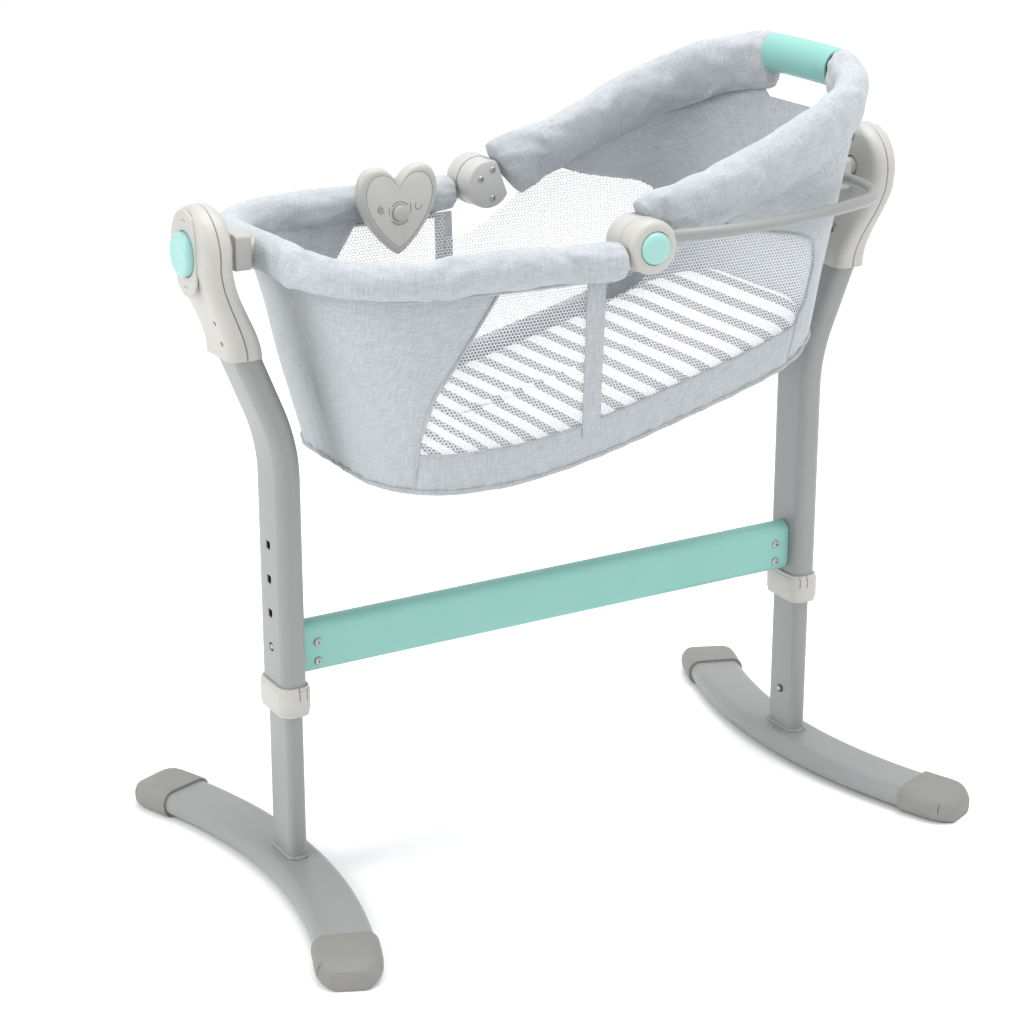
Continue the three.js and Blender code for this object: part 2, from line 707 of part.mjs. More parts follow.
// A thin wall from the floor line up to `top(x)`, between two shares of the outline.
function wallPanel({ from, to, sideY, columns, rows, low, top, push = 0, thick = wall }) {
  const g = new THREE.BoxGeometry(1, 1, 1, columns, rows, 1);
  const p = g.getAttribute("position");
  const place = (s, t) => {
    const guess = outline(s, t, sideY);
    const z0 = low(guess[0]);
    const z1 = top(guess[0]);
    const z = z0 + (z1 - z0) * t;
    const full = (z - floorLine(guess[0])) / (rimRest(guess[0]) - floorLine(guess[0]));
    const [x, y] = outline(s, Math.min(Math.max(full, 0), 1.1), sideY);
    return at(x, y, z);
  };
  for (let i = 0; i < p.count; i++) {
    const u = p.getX(i) + 0.5;
    const t = p.getY(i) + 0.5;
    const s = from(t) + (to(t) - from(t)) * u;
    const here = place(s, t);
    const next = place(s + 0.004, t);
    const prev = place(s - 0.004, t);
    const run = next.sub(prev);
    const out = at(run.y, -run.x, 0).normalize().multiplyScalar(-sideY);
    here.addScaledVector(out, push + p.getZ(i) * thick);
    p.setXYZ(i, here.x, here.y, here.z);
  }
  if (sideY > 0) g.setIndex([...g.index.array].reverse());
  return g;
}
const rimRest = (x) => (x < 0 ? footRimZ(-x) : headRimZ(x));

const ends = { foot: (t) => shareAt(seamFoot, t), head: (t) => shareAt(seamHead, t) };
const seamGap = 0.002;
const lap = 0.01; // how far each half of an end wall runs past the middle to join the other

// The two halves of a wall that wraps round one end, joined at the middle.
function endWall(atFoot, options) {
  const [near, far] = [-1, 1].map((sideY) => solid(wallPanel({
    from: atFoot ? () => -lap : (t) => ends.head(t) + seamGap,
    to: atFoot ? (t) => ends.foot(t) - seamGap : () => 1 + lap,
    sideY,
    columns: 9,
    rows: 3,
    low: (x) => floorLine(x) + 0.1,
    top: rimLow,
    ...options,
  })));
  return near.add(far);
}
add("foot_wall", endWall(true), fabric);
add("head_wall", endWall(false), fabric);

for (const [name, sideY] of [["side_panel_near", -1], ["side_panel_far", 1]]) {
  add(name, wallPanel({
    from: ends.foot,
    to: ends.head,
    sideY,
    columns: 14,
    rows: 3,
    low: (x) => floorLine(x) + 0.1,
    top: rimLow,
  }), meshCloth);
}

// A flat pad between two heights above the floor line, inset from the walls.
function slab(inset, low, high) {
  const g = new THREE.BoxGeometry(1, 1, 1, 20, 1, 1);
  const p = g.getAttribute("position");
  const c = bodyCorner - inset;
  const foot = bodyFoot - inset;
  const head = bodyHead - inset;
  for (let i = 0; i < p.count; i++) {
    const ease = 0.5 + 0.5 * Math.sin(p.getX(i) * Math.PI);
    const x = THREE.MathUtils.lerp(-foot, head, ease);
    const over = Math.max(c - foot - x, x - (head - c), 0);
    const half = bodyHalf - bodyCorner + Math.sqrt(Math.max(c * c - over * over, 0));
    const z = floorLine(x) + (p.getZ(i) < 0 ? low : high);
    p.setXYZ(i, x, p.getY(i) * 2 * half, z);
  }
  return g;
}
add("floor_board", slab(wall / 2 + 1.2, 0, floorThick), warmGrey);
add("mattress", slab(mattress.inset, floorThick + gap, floorThick + mattress.thick), sheetCloth);

// ---- padded sleeves round the rim tubes ----
function sleeve(points, radius, taper) {
  const g = loft(circle(radius), along(points, Z), 6);
  const p = g.getAttribute("position");
  const v = at(0, 0, 0);
  for (let i = 0; i < p.count; i++) {
    v.fromBufferAttribute(p, i);
    const centre = points.reduce((a, b) => (a.distanceTo(v) < b.distanceTo(v) ? a : b));
    const off = v.clone().sub(centre);
    v.copy(centre).addScaledVector(off, taper(centre.x));
    p.setXYZ(i, v.x, v.y, v.z);
  }
  return solid(g);
}

const gather = (x) => 0.78 + 0.22 * THREE.MathUtils.smoothstep(Math.abs(x), sleeveStart, 80);
const footNeck = rodX(13.5, -rimEnd - 40, -rimEnd, 0, pivotZ - 5, 24);
const padded = (points) => points.filter((p) => Math.abs(p.x) >= sleeveStart);
const sleeveBore = (points) => solid(sweep(rimTube + 0.6, points));
const footPad = sleeve(padded(footRimPoints), footSleeve, gather)
  .subtract(sleeveBore(footRimPoints))
  .subtract(solid(footNeck));
add("foot_sleeve", footPad, fabric);

// The stretch of the head rim within `half` of its middle, cut at exactly that distance.
function middleStretch(points, half) {
  const kept = points.filter((p) => p.x > 99 && Math.abs(p.y) < half);
  const cut = [-half, half].map((y) => {
    const i = points.findIndex((p, k) => k > 0 && p.x > 99 && p.y > y && points[k - 1].y <= y);
    const share = (y - points[i - 1].y) / (points[i].y - points[i - 1].y);
    return points[i - 1].clone().lerp(points[i], share);
  });
  return [cut[0], ...kept, cut[1]];
}
const gripPoints = middleStretch(headRimPoints, grip.half);
const gripUnder = headEndZ - grip.h / 2;
function headPad() {
  const pad = sleeve(padded(headRimPoints), headSleeve, gather);
  const skirts = [-1, 1].map((sideY) => solid(wallPanel({
    from: (t) => shareAt(sleeveStart, t),
    to: () => 1 + lap,
    sideY,
    columns: 16,
    rows: 2,
    low: (x) => rimLow(x) - skirtLap,
    top: (x) => headSleeveLow(x) + 8,
    push: wall / 2 + skirtGap + 1.25,
    thick: 2.5,
  })));
  const cutHalf = grip.half + 4; // the grip's slanted ends reach a little past its half length
  const cut = box(headEnd - 90, headEnd + 60, -cutHalf, cutHalf, gripUnder - grip.opening,
    headEndZ + 60);
  return skirts[0].add(skirts[1]).add(pad)
    .subtract(sleeveBore(headRimPoints))
    .subtract(solid(cut));
}
add("head_sleeve", headPad(), fabric);

// ---- carry grip, a moulded sleeve round the middle of the head rim ----
function carryGrip() {
  const section = roundedRect(grip.w, grip.h, grip.w / 2 - 2);
  return solid(loft(section, along(gripPoints, Z), 4)).subtract(headTubeBore());
}
add("carry_grip", carryGrip(), mint);

// ---- soother: a heart-shaped case that clips over the far handrail ----
function heartShape(w, h) {
  const s = new THREE.Shape();
  const x = w / 2;
  s.moveTo(0, -h * 0.52);
  s.bezierCurveTo(x * 0.25, -h * 0.47, x, -h * 0.1, x, h * 0.2);
  s.bezierCurveTo(x, h * 0.42, x * 0.75, h * 0.48, x * 0.55, h * 0.48);
  s.bezierCurveTo(x * 0.25, h * 0.48, x * 0.12, h * 0.36, 0, h * 0.3);
  s.bezierCurveTo(-x * 0.12, h * 0.36, -x * 0.25, h * 0.48, -x * 0.55, h * 0.48);
  s.bezierCurveTo(-x * 0.75, h * 0.48, -x, h * 0.42, -x, h * 0.2);
  s.bezierCurveTo(-x, -h * 0.1, -x * 0.25, -h * 0.47, 0, -h * 0.52);
  return s;
}

// A heart of the given outer size whose front faces -Y and stands at y = front.
function heartPlate(w, h, depth, bevel, front, curveSegments = 4) {
  const g = new THREE.ExtrudeGeometry(heartShape(w - 2 * bevel, h - 2 * bevel), {
    depth: depth - 2 * bevel,
    bevelSize: bevel,
    bevelThickness: bevel,
    bevelSegments: 1,
    curveSegments,
  });
  return g.rotateX(Math.PI / 2).translate(heart.x, front + depth - bevel, heart.z);
}
const clipInner = footSleeve + 1.1;
const clipOuter = clipInner + 2.5;
const heartRear = rimHalf - clipOuter - gap;
const heartFront = heartRear - heart.back;
const keyRoom = rodY(heart.key + gap, heartFront - 10, heartFront + 4, heart.x, heart.z - 4, 24);
const seatCut = heartPlate(heart.w - 14, heart.h - 15, 8, 0.5, heartFront - 6);
const heartCase = solid(heartPlate(heart.w, heart.h, heart.back, 5, heartFront))
  .subtract(solid(seatCut)).subtract(solid(keyRoom));
add("soother_case", heartCase, offWhite);
const facePart = solid(heartPlate(heart.w - 18, heart.h - 19, 4, 1, heartFront - 2.3));
add("soother_face", facePart.subtract(solid(keyRoom)), facePlate);
add("soother_key",
  rodY(heart.key, heartFront - 3, heartFront + 1.5, heart.x, heart.z - 4, 24), offWhite);

function sootherClip() {
  const s = new THREE.Shape();
  s.absarc(0, 0, clipOuter, Math.PI, -0.35, true);
  s.absarc(0, 0, clipInner, -0.35, Math.PI, false);
  s.closePath();
  const width = 36;
  return new THREE.ExtrudeGeometry(s, { depth: width, bevelEnabled: false, curveSegments: 10 })
    .rotateX(Math.PI / 2)
    .rotateZ(Math.PI / 2)
    .translate(heart.x - width / 2, rimHalf, footRimZ(-heart.x));
}
add("soother_clip", sootherClip(), offWhite);

export default cradle;
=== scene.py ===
import math

import bmesh
import bpy
from mathutils import Matrix, Vector, noise


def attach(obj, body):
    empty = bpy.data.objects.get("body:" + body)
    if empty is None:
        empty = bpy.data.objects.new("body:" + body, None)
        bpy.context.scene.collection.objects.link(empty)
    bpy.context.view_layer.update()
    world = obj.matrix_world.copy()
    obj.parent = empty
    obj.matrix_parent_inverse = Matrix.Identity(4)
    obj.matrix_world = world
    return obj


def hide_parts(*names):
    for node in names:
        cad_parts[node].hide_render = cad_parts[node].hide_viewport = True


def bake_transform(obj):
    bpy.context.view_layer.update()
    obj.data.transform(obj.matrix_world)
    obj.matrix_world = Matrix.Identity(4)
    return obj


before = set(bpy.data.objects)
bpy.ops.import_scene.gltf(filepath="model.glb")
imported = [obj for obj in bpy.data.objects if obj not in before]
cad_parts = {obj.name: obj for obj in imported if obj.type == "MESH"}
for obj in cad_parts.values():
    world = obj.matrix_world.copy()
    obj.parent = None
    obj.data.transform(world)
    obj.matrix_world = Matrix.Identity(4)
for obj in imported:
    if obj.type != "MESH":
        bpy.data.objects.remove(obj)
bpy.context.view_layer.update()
scene = bpy.context.scene
shown = bpy.context.evaluated_depsgraph_get


# ---- Uprights ----
# Two steel tubes of rounded oblong section, powder coated in light grey. Each one stands straight
# and then leans outwards into its hub, and has a row of height holes down its outboard face.
class Signal:
    """A value or colour on its way through a finish's nodes."""

    def __init__(self, finish, socket):
        self.finish = finish
        self.socket = socket

    def math(self, operation, first, second):
        return self.finish.node("ShaderNodeMath", {0: first, 1: second}, operation=operation)

    def __add__(self, other):
        return self.math("ADD", self, other)

    __radd__ = __add__

    def __sub__(self, other):
        return self.math("SUBTRACT", self, other)

    def __rsub__(self, other):
        return self.math("SUBTRACT", other, self)

    def __mul__(self, other):
        return self.math("MULTIPLY", self, other)

    __rmul__ = __mul__

    def __truediv__(self, other):
        return self.math("DIVIDE", self, other)


class Finish:
    """A material being mixed: its surface sockets are set by name, with _ for a space."""

    def __init__(self, name, **sockets):
        self.material = bpy.data.materials.new(name)
        self.material.use_nodes = True
        self.tree = self.material.node_tree
        self.shader = self.tree.nodes["Principled BSDF"]
        self.set(**sockets)

    def feed(self, socket, value):
        if isinstance(value, Signal):
            self.tree.links.new(value.socket, socket)
        elif socket.type == "RGBA" and len(value) == 3:
            socket.default_value = (*value, 1.0)
        else:
            socket.default_value = value

    def set(self, **sockets):
        for name, value in sockets.items():
            self.feed(self.shader.inputs[name.replace("_", " ")], value)
        return self

    def node(self, kind, sockets=None, out=0, **settings):
        made = self.tree.nodes.new(kind)
        for name, value in settings.items():
            setattr(made, name, value)
        for key, value in (sockets or {}).items():
            self.feed(made.inputs[key], value)
        return Signal(self, made.outputs[out])

    def coords(self, kind="Object", stretch=(1, 1, 1), turn=0.0):
        source = self.node("ShaderNodeTexCoord")
        source.socket = source.socket.node.outputs[kind]
        values = {"Vector": source, "Scale": stretch, "Rotation": (0, 0, turn)}
        return self.node("ShaderNodeMapping", values)

    def grain(self, scale, detail=2.0, rough=0.5, **place):
        values = {"Vector": self.coords(**place), "Scale": scale, "Detail": detail}
        values["Roughness"] = rough
        return self.node("ShaderNodeTexNoise", values)

    def ramp(self, value, low, high, start=0.0, end=1.0):
        values = {0: value, 1: low, 2: high, 3: start, 4: end}
        return self.node("ShaderNodeMapRange", values)

    def blend(self, share, first, second):
        return self.node("ShaderNodeMix", {0: share, 6: first, 7: second}, out=2, data_type="RGBA")

    def bump(self, height, distance, strength=1.0):
        values = {"Height": height, "Distance": distance, "Strength": strength}
        return self.set(Normal=self.node("ShaderNodeBump", values))


def powder_coat():
    coat = Finish("powder_coat", Metallic=0.0, Coat_Weight=0.12, Coat_Roughness=0.3)
    peel = coat.grain(620, 3)
    broad = coat.grain(9, 3)
    coat.set(Base_Color=coat.blend(broad, (0.240, 0.246, 0.244), (0.270, 0.276, 0.274)))
    coat.set(Roughness=0.34 + 0.16 * peel)
    return coat.bump(peel, 0.00025, 0.35).material


PAINT = powder_coat()


def rounded(w, h, r, steps=7):
    """Points of a rounded oblong, counted round from its lower right corner."""
    points = []
    for cx, cy, start in ((1, -1, -90), (1, 1, 0), (-1, 1, 90), (-1, -1, 180)):
        for i in range(steps + 1):
            a = math.radians(start + 90 * i / steps)
            points.append((cx * (w / 2 - r) + r * math.cos(a), cy * (h / 2 - r) + r * math.sin(a)))
    return points


def circle(r, sides):
    return [(r * math.cos(math.tau * i / sides), r * math.sin(math.tau * i / sides))
            for i in range(sides)]


UP = Vector((0, 0, 1))


def facing(place, along, up=UP, wide=1.0, tall=1.0):
    """A placement at a point, looking along a direction, with its y kept towards `up`."""
    z = Vector(along).normalized()
    x = up.cross(z).normalized()
    m = Matrix((x * wide, z.cross(x) * tall, z)).transposed().to_4x4()
    m.translation = Vector(place)
    return m


def stations(points, up=UP):
    last = len(points) - 1
    return [facing(p, points[min(i + 1, last)] - points[max(i - 1, 0)], up)
            for i, p in enumerate(points)]


def rings(section, places):
    return [[m @ Vector((x, y, 0)) for x, y in section] for m in places]


def skin(loops, closed=False):
    """A mesh skin over loops of points, with its two ends filled unless it closes on itself.

    Its UVs are in metres: u along, v round.
    """
    n, m = len(loops[0]), len(loops)
    along = [0.0]
    for i in range(1, m + 1):
        step = sum((loops[i % m][k] - loops[i - 1][k]).length for k in (0, n // 3, 2 * n // 3)) / 3
        along.append(along[-1] + step)
    middle = loops[m // 2]
    rounds = [0.0]
    for j in range(1, n + 1):
        rounds.append(rounds[-1] + (middle[j % n] - middle[j - 1]).length)
    faces, uvs = [], []
    for i in range(m if closed else m - 1):
        for j in range(n):
            a, b = i * n, (i + 1) % m * n
            k = (j + 1) % n
            faces.append((a + j, a + k, b + k, b + j))
            uvs += [(along[i], rounds[j]), (along[i], rounds[j + 1]),
                    (along[i + 1], rounds[j + 1]), (along[i + 1], rounds[j])]
    if not closed:
        for a, order in ((0, range(n - 1, -1, -1)), ((m - 1) * n, range(n))):
            faces.append(tuple(a + j for j in order))
            uvs += [(loops[a // n][j].x + loops[a // n][j].y, loops[a // n][j].z) for j in order]
    mesh = bpy.data.meshes.new("skin")
    mesh.from_pydata([tuple(v) for loop in loops for v in loop], [], faces)
    layer = mesh.uv_layers.new(name="UVMap")
    layer.data.foreach_set("uv", [c for uv in uvs for c in uv])
    return outwards(mesh)


def outwards(mesh):
    """The mesh with its faces turned to point out."""
    work = bmesh.new()
    work.from_mesh(mesh)
    bmesh.ops.recalc_face_normals(work, faces=work.faces)
    work.to_mesh(mesh)
    work.free()
    return mesh


def loft(section, places):
    return skin(rings(section, places))


def straight(section, start, end, up=UP):
    """A section carried along a straight line."""
    start, end = Vector(start), Vector(end)
    return loft(section, [facing(start, end - start, up), facing(end, end - start, up)])


def put(name, data):
    """A new object in the scene."""
    made = bpy.data.objects.new(name, data)
    scene.collection.objects.link(made)
    return made


def settle(obj):
    """The object's shape with its modifiers taken in, as a plain mesh."""
    return bpy.data.meshes.new_from_object(obj.evaluated_get(shown()))


def carve(mesh, cutters):
    """The mesh with the cutters' shapes taken out of it."""
    block = put("block", mesh)
    tools = [put("tool", cutter) for cutter in cutters]
    for tool in tools:
        cut = block.modifiers.new("cut", "BOOLEAN")
        cut.operation = "DIFFERENCE"
        cut.solver = "EXACT"
        cut.object = tool
    bpy.context.view_layer.update()
    made = settle(block)
    for spent in [block, *tools]:
        bpy.data.objects.remove(spent)
    return made


def mirrored(mesh, axis):
    twin = mesh.copy()
    twin.transform(Matrix.Scale(-1, 4, axis))
    twin.flip_normals()
    return twin


def at_end(mesh, sign):
    """The shape as it is at the head end, or its mirror image at the foot end."""
    return mesh.copy() if sign > 0 else mirrored(mesh, (1, 0, 0))


def piece(name, mesh, finish, body, instead_of=(), edge=0.0, crease=38, bend=None):
    """A finished piece: edge rounds its corners, crease is the angle of its sharp edges.

    When bend is given, the piece is left where it stands and is tied to no body; the body and
    places in bend are not used.
    """
    made = put(name, mesh)
    mesh.materials.clear()
    mesh.materials.append(finish)
    mesh.shade_smooth()
    mesh.set_sharp_from_angle(angle=math.radians(crease))
    if edge:
        bevel = made.modifiers.new("edge", "BEVEL")
        bevel.width = edge
        bevel.segments = 2
        bevel.limit_method = "ANGLE"
        bevel.angle_limit = math.radians(40)
        bevel.harden_normals = True
    if bend:
        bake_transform(made)
    else:
        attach(made, body)
    if instead_of:
        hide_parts(*instead_of)
    return made


ENDS = (("head", 1), ("foot", -1))
POST_X = 0.329
POST_BOTTOM, POST_TOP = 0.200, 0.622
HOLES = [0.2697 + 0.038 * i for i in range(4)]


def post_x(z):
    start, radius, lean = 0.455, 0.200, math.radians(22)
    top = start + radius * math.sin(lean)
    if z <= start:
        return POST_X
    if z <= top:
        return POST_X + radius * (1 - math.cos(math.asin((z - start) / radius)))
    return POST_X + radius * (1 - math.cos(lean)) + (z - top) * math.tan(lean)


def post_points(low, high, steps):
    heights = [low + (high - low) * i / steps for i in range(steps + 1)]
    return [Vector((post_x(z), 0, z)) for z in heights]


SIDEWAYS = Vector((0, 1, 0))
post_line = [Vector((POST_X, 0, POST_BOTTOM))] + post_points(0.450, POST_TOP, 22)
upright = loft(rounded(0.029, 0.058, 0.011), stations(post_line, SIDEWAYS))
bore = loft(rounded(0.026, 0.055, 0.0095), stations(
    [Vector((POST_X, 0, POST_BOTTOM - 0.01))] + post_points(0.450, POST_TOP + 0.01, 22), SIDEWAYS))
hole_tools = [straight(rounded(0.0092, 0.0092, 0.0022, 3), (POST_X + 0.006, 0, z),
                       (POST_X + 0.03, 0, z)) for z in HOLES]
upright = carve(upright, [bore, *hole_tools])
for end, sign in ENDS:
    piece(f"upright_{end}", at_end(upright, sign), PAINT, "frame",
          [f"post_{end}"], edge=0.0004)


# ---- Collars ----
# A moulded collar on the bottom of each upright, where the leg comes out. Two slits in its near
# face leave a springy tongue that clips it on.
def moulded(name, light, dark, shine=0.42):
    plastic = Finish(name)
    fine = plastic.grain(1500, 2)
    broad = plastic.grain(18, 3)
    plastic.set(Base_Color=plastic.blend(broad, dark, light))
    plastic.set(Roughness=shine - 0.05 + 0.14 * fine)
    return plastic.bump(fine, 0.00012, 0.4).material


OFF_WHITE = moulded("off_white_plastic", (0.455, 0.448, 0.425), (0.425, 0.418, 0.395))

collar_levels = [(0.1970, -0.0006), (0.1976, 0.0), (0.2010, 0.0), (0.2016, 0.0008),
                 (0.2030, 0.0012), (0.2250, 0.0012), (0.2264, 0.0006), (0.2270, 0.0),
                 (0.2295, -0.0002), (0.2300, -0.0012)]
collar_loops = []
for z, grow in collar_levels:
    w, h = 0.0350 + 2 * grow, 0.0640 + 2 * grow
    collar_loops += rings(rounded(w, h, 0.0135 + grow), [facing((POST_X, 0, z), UP, SIDEWAYS)])
collar = skin(collar_loops)
collar = carve(collar, [
    straight(rounded(0.0295, 0.0585, 0.0112), (POST_X, 0, 0.2003), (POST_X, 0, 0.235), SIDEWAYS),
    straight(rounded(0.0225, 0.0515, 0.0085), (POST_X, 0, 0.19), (POST_X, 0, 0.21), SIDEWAYS)])
SLIT_Z = 0.2235
slits = [straight(rounded(0.0010, 0.016, 0.0004, 2), (POST_X + x, -0.0295, SLIT_Z),
                  (POST_X + x, -0.0360, SLIT_Z)) for x in (-0.0015, -0.0105)]
collar = carve(collar, slits)
for end, sign in ENDS:
    piece(f"collar_ring_{end}", at_end(collar, sign), OFF_WHITE, "frame",
          [f"collar_{end}"], edge=0.0003)


# ---- Crossbar and its screws ----
# A mint-coloured rounded tube between the uprights, butted against them and held at each end by
# two zinc-plated pan-head screws with cross recesses.
MINT = moulded("mint_plastic", (0.225, 0.475, 0.425), (0.205, 0.45, 0.40), 0.38)
BAR_END = POST_X - 0.0148
BAR_MID = 0.2635
crossbar = straight(rounded(0.024, 0.058, 0.0105), (-BAR_END, 0, BAR_MID),
                    (BAR_END, 0, BAR_MID))
piece("crossbar_tube", crossbar, MINT, "frame", ["crossbar"], edge=0.0012)


def zinc_plate():
    zinc = Finish("zinc_plate", Metallic=1.0)
    streak = zinc.grain(300, 3, stretch=(1, 1, 5))
    zinc.set(Base_Color=zinc.blend(streak, (0.30, 0.305, 0.31), (0.50, 0.505, 0.51)))
    return zinc.set(Roughness=0.22 + 0.2 * streak).material


ZINC = zinc_plate()


def turned(profile, place, sides=32):
    """A lathed piece: (radius, height) pairs along the placement's z."""
    return skin([[place @ Vector((x, y, h)) for x, y in circle(max(r, 0.0001), sides)]
                 for r, h in profile])


def pan_head(r, h):
    """A screw's head with a cross recess, facing up its z."""
    head = turned([(r * 0.97, -h * 0.1), (r, h * 0.05), (r * 0.97, h * 0.45),
                   (r * 0.82, h * 0.8), (r * 0.5, h * 0.97), (r * 0.1, h)],
                  Matrix.Identity(4), 28)
    slots = []
    for across in (0, 90):
        slot = straight(rounded(r * 1.05, r * 0.26, r * 0.08, 2), (0, 0, h * 0.35), (0, 0, h * 2),
                        SIDEWAYS)
        slot.transform(Matrix.Rotation(math.radians(across), 4, "Z"))
        slots.append(slot)
    return carve(head, slots)


def setting_out():
    """Geometry Nodes that set one small piece out on points, each turned by the point's `turn`."""
    tree = bpy.data.node_groups.new("setting_out", "GeometryNodeTree")
    face = tree.interface
    face.new_socket("Points", in_out="INPUT", socket_type="NodeSocketGeometry")
    for name, kind in (("Piece", "Object"), ("Size", "Float"), ("Finish", "Material")):
        face.new_socket(name, in_out="INPUT", socket_type="NodeSocket" + kind)
    face.new_socket("Pieces", in_out="OUTPUT", socket_type="NodeSocketGeometry")

    def add(kind, **settings):
        made = tree.nodes.new(kind)
        for name, value in settings.items():
            setattr(made, name, value)
        return made

    enter, leave = add("NodeGroupInput"), add("NodeGroupOutput")
    info = add("GeometryNodeObjectInfo")
    turn = add("GeometryNodeInputNamedAttribute", data_type="FLOAT_VECTOR")
    turn.inputs["Name"].default_value = "turn"
    spin = add("FunctionNodeEulerToRotation")
    spread = add("GeometryNodeInstanceOnPoints")
    real = add("GeometryNodeRealizeInstances")
    paint = add("GeometryNodeSetMaterial")
    for a, b in (
        (enter.outputs["Points"], spread.inputs["Points"]),
        (enter.outputs["Piece"], info.inputs["Object"]),
        (info.outputs["Geometry"], spread.inputs["Instance"]),
        (turn.outputs["Attribute"], spin.inputs["Euler"]),
        (spin.outputs["Rotation"], spread.inputs["Rotation"]),
        (enter.outputs["Size"], spread.inputs["Scale"]),
        (spread.outputs["Instances"], real.inputs["Geometry"]),
        (real.outputs["Geometry"], paint.inputs["Geometry"]),
        (enter.outputs["Finish"], paint.inputs["Material"]),
        (paint.outputs["Geometry"], leave.inputs["Pieces"]),
    ):
        tree.links.new(a, b)
    return tree


SETTING_OUT = setting_out()


def grown(mesh, tree, **inputs):
    """What a Geometry Nodes tree makes of a mesh, with the tree's named inputs set."""
    holder = put("holder", mesh)
    nodes = holder.modifiers.new("grown", "NODES")
    nodes.node_group = tree
    for item in tree.interface.items_tree:
        if item.in_out == "INPUT" and item.name in inputs:
            nodes[item.identifier] = inputs[item.name]
    bpy.context.view_layer.update()
    made = settle(holder)
    bpy.data.objects.remove(holder)
    return made


def set_out(small, places, finish, size=1.0):
    """Copies of a small mesh at placements whose z is the way it faces, as one mesh."""
    points = bpy.data.meshes.new("points")
    points.from_pydata([tuple(m.translation) for m in places], [], [])
    turn = points.attributes.new("turn", "FLOAT_VECTOR", "POINT")
    turn.data.foreach_set("vector", [c for m in places for c in m.to_euler()])
    model = put("model", small)
    made = grown(points, SETTING_OUT, Piece=model, Size=size, Finish=finish)
    bpy.data.objects.remove(model)
    return made


SCREW = pan_head(0.0046, 0.0024)
for end, sign in ENDS:
    rows = [("upper", 0.2695), ("lower", 0.2479)]
    places = [facing((sign * (BAR_END - 0.019), -0.012, z), (0, -1, 0)) for _, z in rows]
    piece(f"crossbar_screws_{end}", set_out(SCREW, places, ZINC), ZINC, "frame",
          [f"crossbar_screw_{end}_{row}" for row, _ in rows], crease=30)


# ---- Base feet ----
# A flat rounded tube bowed in plan stands on the floor at each end, in two rubber caps. The leg
# is welded on its middle and telescopes into the upright, where a sprung button holds it.
BAR_HEIGHT = 0.016
BOW, BOW_AT = 0.046, 0.230


def foot_x(y):
    return POST_X + BOW * (y / BOW_AT) ** 2


def foot_points(low, high, steps):
    spots = [low + (high - low) * i / steps for i in range(steps + 1)]
    return [Vector((foot_x(y), y, BAR_HEIGHT)) for y in spots]


base_bar = loft(rounded(0.064, 0.026, 0.012), stations(foot_points(-0.2465, 0.2465, 40)))


def cap_rubber():
    rubber = Finish("cap_rubber")
    fine = rubber.grain(900, 3)
    broad = rubber.grain(22, 3)
    rubber.set(Base_Color=rubber.blend(broad, (0.20, 0.198, 0.188), (0.24, 0.237, 0.224)))
    rubber.set(Roughness=0.5 + 0.2 * fine)
    return rubber.bump(fine, 0.0003, 0.5).material


RUBBER = cap_rubber()


def base_cap():
    """The far cap; its last part narrows and thins to a rounded tip."""
    mouth, tip, full, taper_from = 0.201, 0.259, 0.032, 0.55
    shares = [0, 0.02, 0.3, 0.55, 0.7, 0.8, 0.87, 0.92, 0.96, 0.985, 1.0]
    loops = []
    for share in shares:
        over = max(share - taper_from, 0) / 0.45
        size = (1 - over ** 2.6 * 0.42) * (0.985 if share == 0 else 1)
        tall = full * (1 - over ** 2.6 * 0.30)
        y = mouth + (tip - mouth) * share
        along = (2 * BOW * y / BOW_AT ** 2, 1, 0)
        place = facing((foot_x(y), y, tall / 2), along, UP, size, tall / full)
        loops += rings(rounded(0.0705, full, 0.0140), [place])
    room = loft(rounded(0.0646, 0.0266, 0.0122), stations(foot_points(0.19, 0.2475, 8)))
    return carve(skin(loops), [room])


cap = base_cap()
leg = loft(rounded(0.021, 0.050, 0.008), [facing((POST_X, 0, z), UP, SIDEWAYS)
                                          for z in (0.0285, 0.12, 0.22, 0.30)])
leg = carve(leg, [straight(circle(0.0047, 20), (POST_X + 0.004, 0, HOLES[0]),
                           (POST_X + 0.02, 0, HOLES[0]))])
bead_loops = []
leg_outline = rounded(0.021, 0.050, 0.008, 9)
for i, spot in enumerate(leg_outline):
    ripple = 0.0006 * math.sin(math.tau * i / len(leg_outline) * 17)
    middle = Vector((POST_X + spot[0], spot[1], 0.0295))
    out = Vector((spot[0] * 2.2, spot[1], 0)).normalized()
    bead_loops.append([middle + out * (0.0026 + ripple) * math.cos(b)
                       + UP * (0.0030 + ripple) * math.sin(b)
                       for b in (math.tau * k / 10 for k in range(10))])
bead = skin(bead_loops, closed=True)
# Black plastic for the leg's stop ring; the same black also makes the painted shade behind each
# hub button.
BLACK_AND_SHADE = moulded("black_plastic_and_shade", (0.03, 0.03, 0.032), (0.02, 0.02, 0.022), 0.4)
stop_place = facing((POST_X - 0.0105, 0, 0.0783), (-1, 0, 0))
stop_ring = turned([(0.0044, -0.0006), (0.0046, 0.0008), (0.0043, 0.0018), (0.0036, 0.0020)],
                   stop_place)
stop_stud = turned([(0.0035, 0.0), (0.0035, 0.0022), (0.0030, 0.0033), (0.0018, 0.0040),
                    (0.0002, 0.0043)], stop_place)
pin = turned([(0.0032, -0.010), (0.0032, -0.0006), (0.0028, 0.0004), (0.0018, 0.0010),
              (0.0002, 0.0013)], facing((POST_X + 0.0140, 0, HOLES[0]), (1, 0, 0)))
